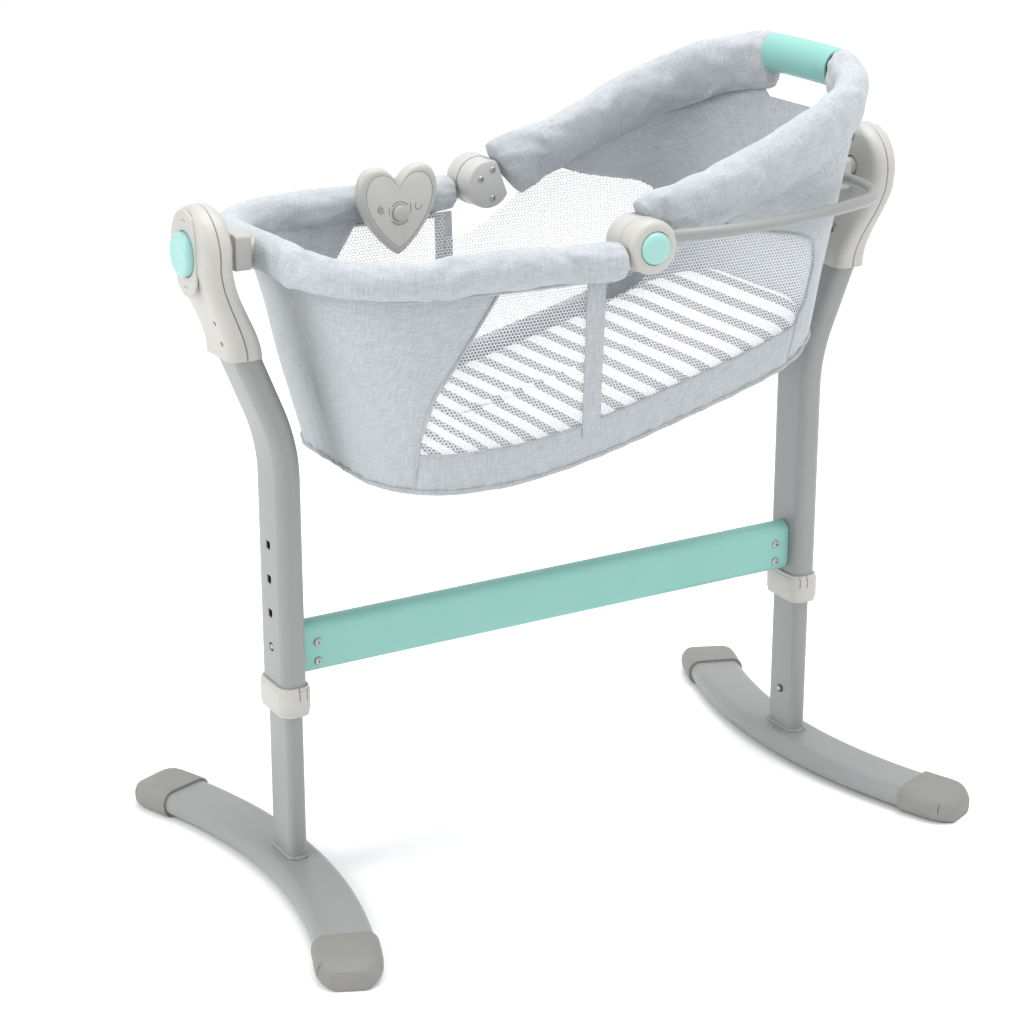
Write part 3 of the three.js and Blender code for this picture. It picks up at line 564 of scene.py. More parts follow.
for end, sign in ENDS:
    base = f"base_{end}"
    piece(f"foot_tube_{end}", at_end(base_bar, sign), PAINT, base,
          [f"base_bar_{end}"], edge=0.0008)
    for side, shape in (("far", cap), ("near", mirrored(cap, (0, 1, 0)))):
        piece(f"foot_cap_{side}_{end}", at_end(shape, sign), RUBBER, base,
              [f"base_cap_{side}_{end}"], edge=0.0007)
    piece(f"leg_tube_{end}", at_end(leg, sign), PAINT, base, [f"leg_{end}"],
          edge=0.0004)
    piece(f"leg_weld_{end}", at_end(bead, sign), PAINT, base)
    piece(f"stop_ring_{end}", at_end(stop_ring, sign), BLACK_AND_SHADE, base)
    piece(f"stop_stud_{end}", at_end(stop_stud, sign), ZINC, base,
          [f"leg_stop_{end}"])
    piece(f"snap_pin_{end}", at_end(pin, sign), ZINC, f"height_button_{end}",
          [f"height_button_{end}"])


# ---- Hubs ----
# Two moulded shells close round the top of each upright and the basket's pivot. A flat oval
# plate on the outboard shell holds a large round push button.
PIVOT_Z = 0.703
HUB_X = 0.405
HUB_R = 0.048
NECK_Z = 0.594


def smooth(low, high, value):
    t = min(max((value - low) / (high - low), 0), 1)
    return t * t * (3 - 2 * t)


def hub_place(z):
    """How far out a hub's middle is at a height."""
    x = post_x(NECK_Z) + 0.004
    return x + (HUB_X - x) * smooth(NECK_Z, PIVOT_Z - 0.008, z)


def hub_size(z):
    """Width and depth of a hub at a height."""
    belly = PIVOT_Z - 0.012
    if z < belly:
        t = (z - NECK_Z) / (belly - NECK_Z)
        wide = 0.066 + 0.0285 * smooth(0.12, 1.02, t)
        deep = 0.039 - 0.0068 * smooth(0.0, 0.75, t)
        return wide, deep
    reach = (z - PIVOT_Z) / HUB_R
    wide = 2 * HUB_R * math.sqrt(max(1 - reach * reach, 0.0004))
    thin = max(reach - 0.72, 0) / 0.28
    return wide, 0.032 - 0.016 * thin ** 2


def hub_heights():
    low = [NECK_Z + (PIVOT_Z - 0.012 - NECK_Z) * i / 22 for i in range(22)]
    turn = [math.radians(-14 + 102 * i / 26) for i in range(27)]
    return low + [PIVOT_Z + HUB_R * math.sin(a) for a in turn]


def hub_section(wide, deep, sign):
    """Half of a rounded oblong, on one side of the parting line, with a small lip groove."""
    lip = 0.0009
    r = min(0.0115, wide / 2 * 0.96, deep / 2 * 0.96)
    x, y = deep / 2, wide / 2
    points = [(0.00018, -y + lip * 1.6), (lip, -y)]
    for cy, start in ((-1, -90), (1, 0)):
        for i in range(9):
            a = math.radians(start + 90 * i / 8)
            points.append((x - r + r * math.cos(a), cy * (y - r) + r * math.sin(a)))
    points += [(lip, y), (0.00018, y - lip * 1.6)]
    return [(px * sign, py) for px, py in (points if sign > 0 else points[::-1])]


def hub_shell(sign):
    """The outboard shell, or with -1 the inboard one."""
    loops = []
    for z in hub_heights():
        wide, deep = hub_size(z)
        place = Matrix.Translation((hub_place(z), 0, z))
        loops += rings(hub_section(wide, deep, sign), [place])
    return skin(loops)


HUB_FACE = HUB_X + 0.016
MINT_BUTTON = moulded("mint_button", (0.30, 0.545, 0.51), (0.28, 0.52, 0.485), 0.3)
socket = loft(rounded(0.029, 0.058, 0.011), stations(post_points(POST_TOP - 0.06, POST_TOP, 8),
                                                     SIDEWAYS))
outer_tools = [
    straight(circle(0.0235, 48), (HUB_FACE - 0.0085, 0, PIVOT_Z), (HUB_FACE + 0.01, 0, PIVOT_Z)),
    socket,
]
for z in (0.612, 0.634):
    spot = hub_place(z) + hub_size(z)[1] / 2
    outer_tools.append(straight(circle(0.0030, 20), (spot - 0.003, -0.019, z),
                                (spot + 0.006, -0.019, z)))
outer_shell = carve(hub_shell(1), outer_tools)
inner_tools = [straight(circle(0.0118, 40), (HUB_X - 0.03, 0, PIVOT_Z),
                        (HUB_X - 0.008, 0, PIVOT_Z)), socket]
screw_spots = [(0.0, PIVOT_Z + 0.034), (0.0, 0.634)]
hub_screw_places = []
for y, z in screw_spots:
    face = hub_place(z) - hub_size(z)[1] / 2
    inner_tools.append(straight(circle(0.0058, 28), (face + 0.0035, y, z), (face - 0.006, y, z)))
    hub_screw_places.append(facing((face + 0.0036, y, z), (-1, 0, 0)))
inner_shell = carve(hub_shell(-1), inner_tools)


def stadium(w, h):
    """Points of an oval with straight sides and round ends."""
    points = []
    for cy, start in ((1, 0), (-1, 180)):
        for i in range(15):
            a = math.radians(start + 180 * i / 14)
            points.append((w / 2 * math.cos(a), cy * (h / 2 - w / 2) + w / 2 * math.sin(a)))
    return points


cover_loops = []
for grow, x in ((0.0, -0.0008), (0.0, 0.0006), (-0.0005, 0.0014), (-0.0013, 0.0018)):
    cover_loops += rings(stadium(0.0505 + 2 * grow, 0.088 + 2 * grow),
                         [facing((HUB_FACE + x, 0, PIVOT_Z), (1, 0, 0))])
cover = carve(skin(cover_loops), [straight(circle(0.0234, 48), (HUB_FACE - 0.01, 0, PIVOT_Z),
                                           (HUB_FACE + 0.01, 0, PIVOT_Z))])
button_place = facing((HUB_FACE, 0, PIVOT_Z), (1, 0, 0))
hub_button = turned([(0.0222, -0.0035), (0.0225, 0.0040), (0.0222, 0.0068), (0.0208, 0.0090),
                     (0.0185, 0.0099), (0.0160, 0.0101), (0.0120, 0.0096), (0.0060, 0.0092),
                     (0.0002, 0.0091)], button_place, 48)
GREY_MARK = moulded("grey_mark", (0.25, 0.25, 0.25), (0.22, 0.22, 0.22), 0.5)
marks = [facing((HUB_FACE + 0.0018, side * 0.0035, PIVOT_Z + up * 0.0335), (1, 0, 0))
         for up in (1, -1) for side in (-1, 0, 1)]
dot = turned([(0.0011, -0.0004), (0.0011, 0.00008), (0.0009, 0.0001)], Matrix.Identity(4), 14)
# Painted shade: a thin black cup closes the button's hole in the hub, so that the gap round the
# button shows black.
shade_cup = turned([(0.0236, -0.0088), (0.0236, -0.0080), (0.0002, -0.0080)],
             facing((HUB_FACE, 0, PIVOT_Z), (1, 0, 0)), 40)
for end, sign in ENDS:
    for label, shape, node, edge in (("outer", outer_shell, "hub_outer_shell", 0.0007),
                                     ("inner", inner_shell, "hub_inner_shell", 0.0007),
                                     ("plate", cover, "hub_cover", 0.0)):
        piece(f"hub_{label}_{end}", at_end(shape, sign), OFF_WHITE, "frame",
              [f"{node}_{end}"], edge=edge, crease=32)
    # The black cup behind the button is painted shade.
    piece(f"hub_cup_{end}", at_end(shade_cup, sign), BLACK_AND_SHADE, "frame")
    piece(f"hub_marks_{end}", at_end(set_out(dot, marks, GREY_MARK), sign), GREY_MARK,
          "frame")
    piece(f"hub_push_{end}", at_end(hub_button, sign), MINT_BUTTON, f"hub_button_{end}",
          [f"hub_button_{end}"])
    piece(f"hub_screws_{end}", at_end(set_out(SCREW, hub_screw_places, ZINC), sign), ZINC,
          "frame", [f"hub_screw_upper_{end}", f"hub_screw_lower_{end}"],
          crease=30)


# ---- Basket tubes ----
# Bent steel tubes carry the basket. One goes round the foot end, one round the raised head end,
# and a thin one reaches outside the fabric from the hinges to the head pivot.
HINGE = Vector((0.002, 0.0, 0.697))
HINGE_R = 0.028
CLEAR = HINGE_R + 0.006


def foot_rim_z(x):
    return 0.684 + 0.008 * x / 0.334


def head_rim_z(x):
    t = max(x - HINGE.x, 0) / 0.320
    return 0.709 + 0.119 * (0.9 * t + 0.1 * t * t)


def both_sides(one, height):
    """A centre line from the near hinge round to the far one, from the half of it on one side."""
    near = [Vector((x, -y, height(x))) for x, y in one]
    far = [Vector((x, y, height(x))) for x, y in reversed(one) if y > 0]
    return near + far


def rim_points(half, end, corner, start, height, flare):
    """A U-shaped centre line from the near hinge round one end to the far hinge."""
    quarter = []
    for i in range(7):
        a = math.pi / 2 * i / 6
        quarter.append((end - corner + corner * math.sin(a),
                        half - corner + corner * math.cos(a)))
    lead = [start, CLEAR, CLEAR + 0.018, CLEAR + 0.046, quarter[0][0] * 0.65]
    side = [(x, half + flare * (1 - smooth(CLEAR, CLEAR + 0.046, x))) for x in lead]
    return both_sides(side + quarter, height)


def support_points(half, end, power, start, flare):
    """The support tube's line, whose plan is a squared-off oval."""
    one = [(start, half - flare), (CLEAR, half - flare)]
    for degrees in (8, 18, 29, 40, 50, 59, 67, 74, 81, 87):
        a = math.radians(degrees)
        one.append((end * math.sin(a) ** (2 / power), half * math.cos(a) ** (2 / power)))
    return both_sides(one + [(end, 0)], lambda x: 0.705 - max(x - 0.260, 0) * 0.075)


def flow(points, step):
    """Evenly spaced points on a smooth curve through the given ones."""
    out = []
    last = len(points) - 1
    for i in range(last):
        p0, p1 = points[max(i - 1, 0)], points[i]
        p2, p3 = points[i + 1], points[min(i + 2, last)]
        count = max(int((p2 - p1).length / step), 1)
        for k in range(count):
            t = k / count
            out.append(0.5 * (2 * p1 + (p2 - p0) * t + (2 * p0 - 5 * p1 + 4 * p2 - p3) * t * t
                              + (3 * p1 - p0 - 3 * p2 + p3) * t ** 3))
    return out + [points[-1]]


def tube(points, radius, sides=24, step=0.008):
    return loft(circle(radius, sides), stations(flow(points, step)))


foot_rim = [Vector((-p.x, p.y, p.z)) for p in
            rim_points(0.166, 0.334, 0.105, 0.008, foot_rim_z, 0.012)]
head_rim = rim_points(0.158, 0.322, 0.118, 0.006, head_rim_z, -0.004)
support = support_points(0.195, 0.360, 3, 0.021, 0.009)
piece("foot_rim_bow", tube(foot_rim, 0.008), PAINT, "basket", ["foot_rim_tube"])
piece("head_rim_bow", tube(head_rim, 0.008), PAINT, "head_rim", ["head_rim_tube"])
piece("support_bow", tube(support, 0.0065), PAINT, "basket", ["support_tube"])

foot_block = straight(rounded(0.030, 0.037, 0.0045), (-0.375, 0, 0.6995), (-0.357, 0, 0.6995))
foot_neck = turned([(0.0122, 0.0), (0.0124, 0.006), (0.0124, 0.0200)],
                   facing((-0.3575, 0, 0.698), (1, 0, 0)), 36)
head_block = straight(rounded(0.040, 0.035, 0.0045), (0.349, 0, 0.6985), (0.376, 0, 0.6985))
piece("pivot_block_foot", foot_block, OFF_WHITE, "basket",
      ["pivot_bracket_foot"], edge=0.0015)
piece("pivot_neck_foot", foot_neck, OFF_WHITE, "basket", edge=0.0005)
piece("pivot_block_head", head_block, OFF_WHITE, "basket",
      ["pivot_bracket_head"], edge=0.0015)
for end, sign in ENDS:
    inner = 0.3755 if sign > 0 else 0.3745
    shaft = turned([(0.0108, 0.0), (0.0108, 0.004), (0.0100, 0.005), (0.0100, 0.020)],
                   facing((sign * inner, 0, PIVOT_Z), (sign, 0, 0)), 36)
    piece(f"pivot_pin_{end}", shaft, OFF_WHITE, "basket", [f"pivot_shaft_{end}"],
          edge=0.0004)


# ---- Rim hinges ----
# A round moulded housing at the middle of each side. Its outer half is fixed to the foot rim and
# carries a mint push button; its inner half, cut flat on one side, turns with the head rim.
GREY = moulded("grey_plastic", (0.46, 0.46, 0.448), (0.43, 0.43, 0.418), 0.4)
outer_profile = [(0.0235, 0.0003), (0.0272, 0.0006), (0.0280, 0.0020), (0.0280, 0.0190),
                 (0.0274, 0.0222), (0.0256, 0.0246), (0.0232, 0.0258), (0.0190, 0.0262)]
DISC_BACK, DISC_DEEP = 0.1677, 0.0270
for side, sign in (("far", 1), ("near", -1)):
    outward = facing((HINGE.x, sign * 0.168, HINGE.z), (0, sign, 0))
    housing = turned(outer_profile, outward, 56)
    pocket = turned([(0.0174, 0.018), (0.0174, 0.04)], outward, 48)
    rooms = [pocket, tube(foot_rim, 0.0082), tube(support, 0.0067)]
    piece(f"hinge_shell_{side}", carve(housing, rooms), OFF_WHITE, "basket",
          [f"hinge_outer_{side}"], edge=0.0004, crease=30)
    button = turned([(0.0166, 0.0225), (0.0167, 0.0262), (0.0162, 0.0282), (0.0146, 0.0300),
                     (0.0110, 0.0314), (0.0060, 0.0321), (0.0002, 0.0323)], outward, 48)
    piece(f"hinge_push_{side}", button, MINT_BUTTON, f"side_button_{side}",
          [f"side_button_{side}"])
    inward = facing((HINGE.x, sign * DISC_BACK, HINGE.z), (0, -sign, 0))
    disc = turned([(0.0262, 0.0), (0.0270, 0.0008), (0.0270, 0.0235), (0.0262, 0.0258),
                   (0.0240, DISC_DEEP)], inward, 56)
    flat = straight(rounded(0.12, 0.06, 0.001), (HINGE.x, sign * 0.1, HINGE.z),
                    (HINGE.x, sign * 0.2, HINGE.z))
    flat.transform(Matrix.Translation(-HINGE))
    flat.transform(Matrix.Rotation(math.radians(-20), 4, "Y")
                   @ Matrix.Translation((0.077, 0, 0)))
    flat.transform(Matrix.Translation(HINGE))
    disc = carve(disc, [flat, tube(head_rim, 0.0082)])
    piece(f"hinge_disc_{side}", disc, GREY, "head_rim", [f"hinge_inner_{side}"],
          edge=0.0008, crease=30)
    face_y = sign * (DISC_BACK - DISC_DEEP)
    spots = [(-0.011, 0.007), (0.004, -0.016), (0.004, 0.016)]
    places = [facing((HINGE.x + x, face_y + sign * 0.0006, HINGE.z + z), (0, -sign, 0))
              for x, z in spots]
    piece(f"hinge_screws_{side}", set_out(SCREW, places, ZINC, 0.8), ZINC, "head_rim",
          crease=30)


# ---- Padded sleeves ----
# Wadded tubes of heathered linen-weave cloth closed round the rim tubes. The foot one is round;
# the head one is a deep oval that hangs below its tube, in two halves with the grip between them.
def heather(name, light, dark, sheen=0.25):
    cloth = Finish(name, Roughness=0.9, Sheen_Weight=sheen, Sheen_Roughness=0.5)
    weft = cloth.grain(1.0, 3, 0.6, kind="UV", stretch=(70, 900, 1))
    warp = cloth.grain(1.0, 3, 0.6, kind="UV", stretch=(900, 70, 1))
    slub_a = cloth.grain(1.0, 2, kind="UV", stretch=(40, 640, 1))
    slub_b = cloth.grain(1.0, 2, kind="UV", stretch=(640, 40, 1))
    cloud = cloth.grain(7, 2)
    threads = weft + warp
    thick = cloth.ramp(slub_a, 0.56, 0.72) + cloth.ramp(slub_b, 0.56, 0.72)
    thin = cloth.ramp(slub_a, 0.44, 0.28) + cloth.ramp(slub_b, 0.44, 0.28)
    tone = cloth.ramp(threads, 0.74, 1.26) + 0.26 * thick - 0.26 * thin + 0.25 * (cloud - 0.5)
    cloth.set(Base_Color=cloth.blend(tone, dark, light))
    return cloth.bump(threads + 0.6 * thick, 0.0005, 0.6).material


HEATHER = heather("heather_cloth", (0.465, 0.492, 0.512), (0.325, 0.348, 0.368))


def gathered(u, length, turn):
    """Depth of the gathers near the two drawn ends of a sleeve, and of its soft folds between."""
    near_end = min(u, length - u)
    pull = math.exp(-near_end / 0.030)
    ridges = math.sin(turn * 13 + 1.3 * math.sin(turn * 3 + u * 20))
    folds = noise.noise(Vector((u * 16, math.cos(turn) * 1.3 + u * 9, math.sin(turn) * 1.3)))
    small = noise.noise(Vector((u * 55, math.cos(turn) * 2.2, math.sin(turn) * 2.2 + 7)))
    return 0.0022 * pull * ridges + 0.0018 * folds + 0.0013 * small


def swell(mesh, held, pressure, cap, growth):
    """Cloth simulation of a stuffed piece: it fills out and puckers between what holds it."""
    pad = put("pad", mesh)
    pins = pad.vertex_groups.new(name="held")
    pins.add(held, 1.0, "REPLACE")
    rest = [v.co.copy() for v in mesh.vertices]
    cloth = pad.modifiers.new("cloth", "CLOTH")
    cloth.settings.quality = 5
    cloth.settings.mass = 0.25
    cloth.settings.tension_stiffness = 12
    cloth.settings.compression_stiffness = 12
    cloth.settings.shear_stiffness = 4
    cloth.settings.bending_stiffness = 0.15
    cloth.settings.use_pressure = True
    cloth.settings.uniform_pressure_force = pressure
    cloth.settings.shrink_min = -growth
    cloth.settings.effector_weights.gravity = 0
    cloth.settings.vertex_group_mass = "held"
    cloth.collision_settings.use_collision = False
    cloth.point_cache.frame_end = 24
    for number in range(1, 21):
        scene.frame_set(number)
    shape = pad.evaluated_get(shown()).data
    for v, start, moved in zip(mesh.vertices, rest, shape.vertices):
        step = moved.co - start
        v.co = start + step * min(1.0, cap / max(step.length, 1e-9))
    bpy.data.objects.remove(pad)
    scene.frame_set(1)
    return mesh


def fine(mesh):
    """The mesh subdivided once."""
    holder = put("holder", mesh)
    smoother = holder.modifiers.new("fine", "SUBSURF")
    smoother.levels = smoother.render_levels = 1
    bpy.context.view_layer.update()
    made = settle(holder)
    bpy.data.objects.remove(holder)
    return made


def sleeve(points, section, creases):
    """A stuffed sleeve: section(turn) gives its outline, creases are places where it is sewn."""
    line = flow(points, 0.0052)
    places = stations(line)
    travelled = [0.0]
    for a, b in zip(line, line[1:]):
        travelled.append(travelled[-1] + (b - a).length)
    length = travelled[-1]
    sides = 30
    underneath = (22, 23)
    loops = []
    for i, place in enumerate(places):
        u = travelled[i]
        end = min(u, length - u)
        draw = 1 - 0.16 * math.exp(-end / 0.006)
        nip = sum(math.exp(-(((u - c) / 0.004) ** 2)) for c in creases)
        loop = []
        for k in range(sides):
            turn = math.tau * k / sides
            x, y = section(turn)
            size = draw * (1 - 0.10 * nip) + gathered(u, length, turn) / 0.02
            loop.append(place @ Vector((x * size, y * (1 + (size - 1) * 0.6), 0)))
        loops.append(loop)
    mesh = skin(loops)
    held = [i * sides + k for i in range(len(loops)) for k in range(sides)
            if k in underneath or i < 2 or i > len(loops) - 3
            or any(abs(travelled[i] - c) < 0.004 for c in creases)]
    return fine(swell(mesh, held, pressure=3.0, cap=0.0032, growth=0.035))


def round_pad(turn):
    return 0.0200 * math.cos(turn), 0.0200 * math.sin(turn)


def deep_pad(turn):
    wide = 0.0172 + 0.0040 * math.sin(turn)
    return wide * math.cos(turn), -0.0085 + 0.0325 * math.sin(turn)


foot_line = [p for p in flow(foot_rim, 0.004) if abs(p.x) >= 0.0245][::2]
foot_pad = sleeve(foot_line, round_pad, (0.30, 0.94))
made = piece("foot_sleeve_pad", foot_pad, HEATHER, "basket", ["foot_sleeve"],
             crease=80)

GRIP_HALF = 0.060
head_line = [p for p in flow(head_rim, 0.004) if p.x >= 0.013][::2]
near_line = [p for p in head_line if p.y < 0.006 - GRIP_HALF]
far_line = [p for p in head_line if p.y > GRIP_HALF - 0.006]
for side, line in (("near", near_line), ("far", far_line)):
    sewn = (0.235,) if side == "near" else (0.20,)
    pad = sleeve(line, deep_pad, sewn)
    # The lower end is cut on a slant, and stays inside the face of the fixed housing.
    for v in pad.vertices:
        v.co.x -= 0.40 * (v.co.z - 0.706) * (1 - smooth(0.030, 0.090, v.co.x))
        if v.co.x < 0.032:
            v.co.y = max(min(v.co.y, 0.1668), -0.1668)
    made = piece(f"head_sleeve_pad_{side}", pad, HEATHER, "head_rim",
                 ["head_sleeve"] if side == "near" else (), crease=80)


# ---- Basket walls ----
# The walls taper from the rims to a sloping floor. The two ends and a band round the foot of the
# long sides are linen cloth; each long side has a window of knitted mesh, crossed by a strap.
def floor_line(x):
    """Height of the floor's edge at a distance along the basket."""
    sag = 0.017 * max(1 - abs((x - 0.06) / 0.215) ** 3, 0)
    return 0.458 + max(x + 0.150, 0) * 0.245 - sag


def rim_line(x):
    """Height of the walls' top edge: the foot rim's, then the head rim's."""
    low, high = foot_rim_z(-x), head_rim_z(x)
    return low + (high - low) * smooth(-0.03, 0.04, x)


def outline(s, level, side):
    """A point on the body's outline; s runs 0..1 along one side from the foot end to the head."""
    foot = 0.262 + (0.322 - 0.262) * level
    head = 0.272 + (0.330 - 0.272) * level
    half = 0.146 + (0.160 - 0.146) * math.sqrt(max(level, 0))
    corner = 0.092 + (0.099 - 0.092) * level
    arc = corner * math.pi / 2
    end_flat = half - corner
    side_flat = foot + head - 2 * corner
    d = s * (2 * end_flat + 2 * arc + side_flat)
    if d < end_flat:
        return -foot, d * side
    d -= end_flat
    if d < arc:
        a = d / corner
        return -foot + corner - corner * math.cos(a), (end_flat + corner * math.sin(a)) * side
    d -= arc
    if d < side_flat:
        return -foot + corner + d, half * side
    d -= side_flat
    if d < arc:
        a = d / corner
        return head - corner + corner * math.sin(a), (end_flat + corner * math.cos(a)) * side
    return head, (end_flat - (d - arc)) * side


def share_at(x, level):
    """How far round the outline a distance along the basket is reached."""
    low, high = 0.1, 0.9
    for _ in range(24):
        mid = (low + high) / 2
        if outline(mid, level, 1)[0] < x:
            low = mid
        else:
            high = mid
    return (low + high) / 2


def wall(s, level, side, out=0.0):
    """A point on the cloth wall, which hangs a little slack and puckers near the floor seam."""
    x, y = outline(s, level, side)
    z = floor_line(x) + (rim_line(x) - floor_line(x)) * level
    ax, ay = outline(s + 0.004, level, side)
    bx, by = outline(s - 0.004, level, side)
    normal = Vector((ay - by, bx - ax, 0)).normalized() * -side
    ease = noise.noise(Vector((x * 9, y * 9 + side, z * 11))) * 0.0035
    full = math.sin(math.pi * min(max(level, 0), 1))
    pucker = 0.0011 * math.sin(s * 190 + 3 * math.sin(s * 23)) * math.exp(-max(level, 0) / 0.09)
    return Vector((x, y, z)) + normal * (out + ease * full - 0.002 * full + pucker)


def level_at(x, z):
    return (z - floor_line(x)) / (rim_line(x) - floor_line(x))


def wall_xz(x, z, side, out):
    level = level_at(x, z)
    return wall(share_at(x, level), level, side, out)


def curve(pairs, value):
    """Straight-line reading between (value, result) pairs, with the ends held."""
    if value <= pairs[0][0]:
        return pairs[0][1]
    for (a, ra), (b, rb) in zip(pairs, pairs[1:]):
        if value <= b:
            return ra + (rb - ra) * (value - a) / (b - a)
    return pairs[-1][1]


FOOT_SEAM = [(0.0, -0.236), (0.26, -0.237), (0.46, -0.227), (0.62, -0.202), (0.85, -0.166),
             (1.0, -0.145)]
HEAD_SEAM = [(0.0, 0.200), (0.19, 0.213), (0.26, 0.226), (0.40, 0.232), (0.51, 0.226),
             (0.58, 0.207), (0.64, 0.180), (0.75, 0.132), (1.0, 0.045)]


def foot_seam(level):
    return curve(FOOT_SEAM, level)


def head_seam(level):
    return curve(HEAD_SEAM, level)


def band_level(x):
    band_tall = 0.043
    return band_tall / (rim_line(x) - floor_line(x))


def sheet_of(grid, thick):
    """A thin cloth over a grid of points, with its two faces and its edges."""
    rows, cols = len(grid), len(grid[0])
    sides = []
    for sign in (0.5, -0.5):
        for i in range(rows):
            for j in range(cols):
                across = grid[i][min(j + 1, cols - 1)] - grid[i][max(j - 1, 0)]
                upward = grid[min(i + 1, rows - 1)][j] - grid[max(i - 1, 0)][j]
                sides.append(grid[i][j] + across.cross(upward).normalized() * thick * sign)
    u = [0.0]
    for j in range(1, cols):
        u.append(u[-1] + (grid[rows // 2][j] - grid[rows // 2][j - 1]).length)
    v = [0.0]
    for i in range(1, rows):
        v.append(v[-1] + (grid[i][cols // 2] - grid[i - 1][cols // 2]).length)
    faces, uvs = [], []
    back = rows * cols
    for i in range(rows - 1):
        for j in range(cols - 1):
            a = i * cols + j
            corners = ((i, j), (i, j + 1), (i + 1, j + 1), (i + 1, j))
            faces.append((a, a + 1, a + cols + 1, a + cols))
            uvs += [(u[q], v[p]) for p, q in corners]
            faces.append((back + a, back + a + cols, back + a + cols + 1, back + a + 1))
            uvs += [(u[q], v[p]) for p, q in (corners[0], corners[3], corners[2], corners[1])]
    edge = ([(0, j) for j in range(cols)] + [(i, cols - 1) for i in range(1, rows)]
            + [(rows - 1, j) for j in range(cols - 2, -1, -1)]
            + [(i, 0) for i in range(rows - 2, 0, -1)])
    for (i, j), (p, q) in zip(edge, edge[1:] + edge[:1]):
        a, b = i * cols + j, p * cols + q
        faces.append((b, a, back + a, back + b))
        uvs += [(u[q], v[p]), (u[j], v[i]), (u[j], v[i]), (u[q], v[p])]
    mesh = bpy.data.meshes.new("cloth")
    mesh.from_pydata([tuple(p) for p in sides], [], faces)
    mesh.uv_layers.new(name="UVMap").data.foreach_set("uv", [c for uv in uvs for c in uv])
    return outwards(mesh)


def flat_size(grid):
    """Width, length and area of the cloth that a grid of points was cut from."""
    rows, cols = len(grid), len(grid[0])
    widths = [sum((row[j] - row[j - 1]).length for j in range(1, cols)) for row in grid]
    tall = [sum((grid[i][j] - grid[i - 1][j]).length for i in range(1, rows))
            for j in range(cols)]
    area = 0.0
    for i in range(rows - 1):
        for j in range(cols - 1):
            a, b, c, d = grid[i][j], grid[i][j + 1], grid[i + 1][j + 1], grid[i + 1][j]
            area += ((b - a).cross(c - a).length + (c - a).cross(d - a).length) / 2
    return (max(widths), max(tall)), area


# Cloth at the head end above the band is given LEAN, the head rim and two places; such pieces are
# left where they stand and tied to no body.
LEAN = ("head_rim", (0.120, 0.0, 0.5647), (0.069, 0.0, 0.7057))


def cloth_piece(name, grid, thick=0.0022, instead_of=(), bend=None):
    made = piece(name, sheet_of(grid, thick), HEATHER, "basket", instead_of,
                 crease=70, bend=bend)
    flat, area = flat_size(grid)


def panel(rows, cols, place):
    """A grid of points from place(across, up), both 0..1."""
    return [[place(j / cols, i / rows) for j in range(cols + 1)] for i in range(rows + 1)]


def foot_panel(across, level):
    q = across * 2 - 1
    side = 1 if q >= 0 else -1
    return wall(abs(q) * share_at(foot_seam(level), level), level, side)


def head_panel(across, t):
    q = across * 2 - 1
    side = 1 if q >= 0 else -1
    y = abs(q) * 0.30
    top = 1.0 - 0.19 * (1 - smooth(0.058, 0.080, y))
    level = t * top
    first = share_at(head_seam(level), level)
    return wall(1 - abs(q) * (1 - first), level, side)


cloth_piece("foot_wall_cloth", panel(26, 90, lambda a, t: foot_panel(a, t * 0.98)),
            instead_of=["foot_wall"])
cloth_piece("head_wall_cloth", panel(26, 96, head_panel), instead_of=["head_wall"], bend=LEAN)
STRAP_X, STRAP_WIDE, STRAP_TOP = -0.046, 0.0215, 0.668
for side, sign in (("near", -1), ("far", 1)):
    def band(across, t):
        start, end = foot_seam(t * 0.3 * 0.6), head_seam(t * 0.3 * 0.6)
        x = start + (end - start) * across
        level = t * band_level(x)
        return wall(share_at(x, level), level, sign, 0.0008)

    def strap(across, t):
        x = STRAP_X + STRAP_WIDE * (across - 0.5)
        low = floor_line(x) + 0.030
        return wall_xz(x, low + (STRAP_TOP - low) * t, sign, 0.0026)

    cloth_piece(f"side_band_{side}", panel(6, 70, band), instead_of=[f"side_panel_{side}"])
    cloth_piece(f"side_strap_{side}", panel(24, 5, strap), thick=0.0014)


# ---- Mesh windows ----
# Warp-knitted white mesh, a net of small six-sided openings, sewn in behind the bands. It is cut
# in two behind the strap.
def net_yarn():
    yarn = Finish("net_yarn", Roughness=0.8, Sheen_Weight=0.2)
    twist = yarn.grain(2200, 2)
    yarn.set(Base_Color=yarn.blend(twist, (0.70, 0.705, 0.73), (0.82, 0.825, 0.85)))
    return yarn.bump(twist, 0.0002, 0.5).material


NET = net_yarn()


def knitting():
    """Geometry Nodes that turn the edges of a drawn net into strands of a given thickness."""
    tree = bpy.data.node_groups.new("knitting", "GeometryNodeTree")
    face = tree.interface
    face.new_socket("Net", in_out="INPUT", socket_type="NodeSocketGeometry")
    for name, kind in (("Strand", "Float"), ("Sides", "Int"), ("Finish", "Material")):
        face.new_socket(name, in_out="INPUT", socket_type="NodeSocket" + kind)
    face.new_socket("Knitted", in_out="OUTPUT", socket_type="NodeSocketGeometry")
    add = tree.nodes.new
    enter, leave = add("NodeGroupInput"), add("NodeGroupOutput")
    lines, rod = add("GeometryNodeMeshToCurve"), add("GeometryNodeCurvePrimitiveCircle")
    strands, real = add("GeometryNodeCurveToMesh"), add("GeometryNodeRealizeInstances")
    paint = add("GeometryNodeSetMaterial")
    for a, b in (
        (enter.outputs["Net"], lines.inputs["Mesh"]),
        (enter.outputs["Sides"], rod.inputs["Resolution"]),
        (enter.outputs["Strand"], rod.inputs["Radius"]),
        (lines.outputs["Curve"], strands.inputs["Curve"]),
        (rod.outputs["Curve"], strands.inputs["Profile Curve"]),
        (strands.outputs["Mesh"], real.inputs["Geometry"]),
        (real.outputs["Geometry"], paint.inputs["Geometry"]),
        (enter.outputs["Finish"], paint.inputs["Material"]),
        (paint.outputs["Geometry"], leave.inputs["Knitted"]),
    ):
        tree.links.new(a, b)
    return tree


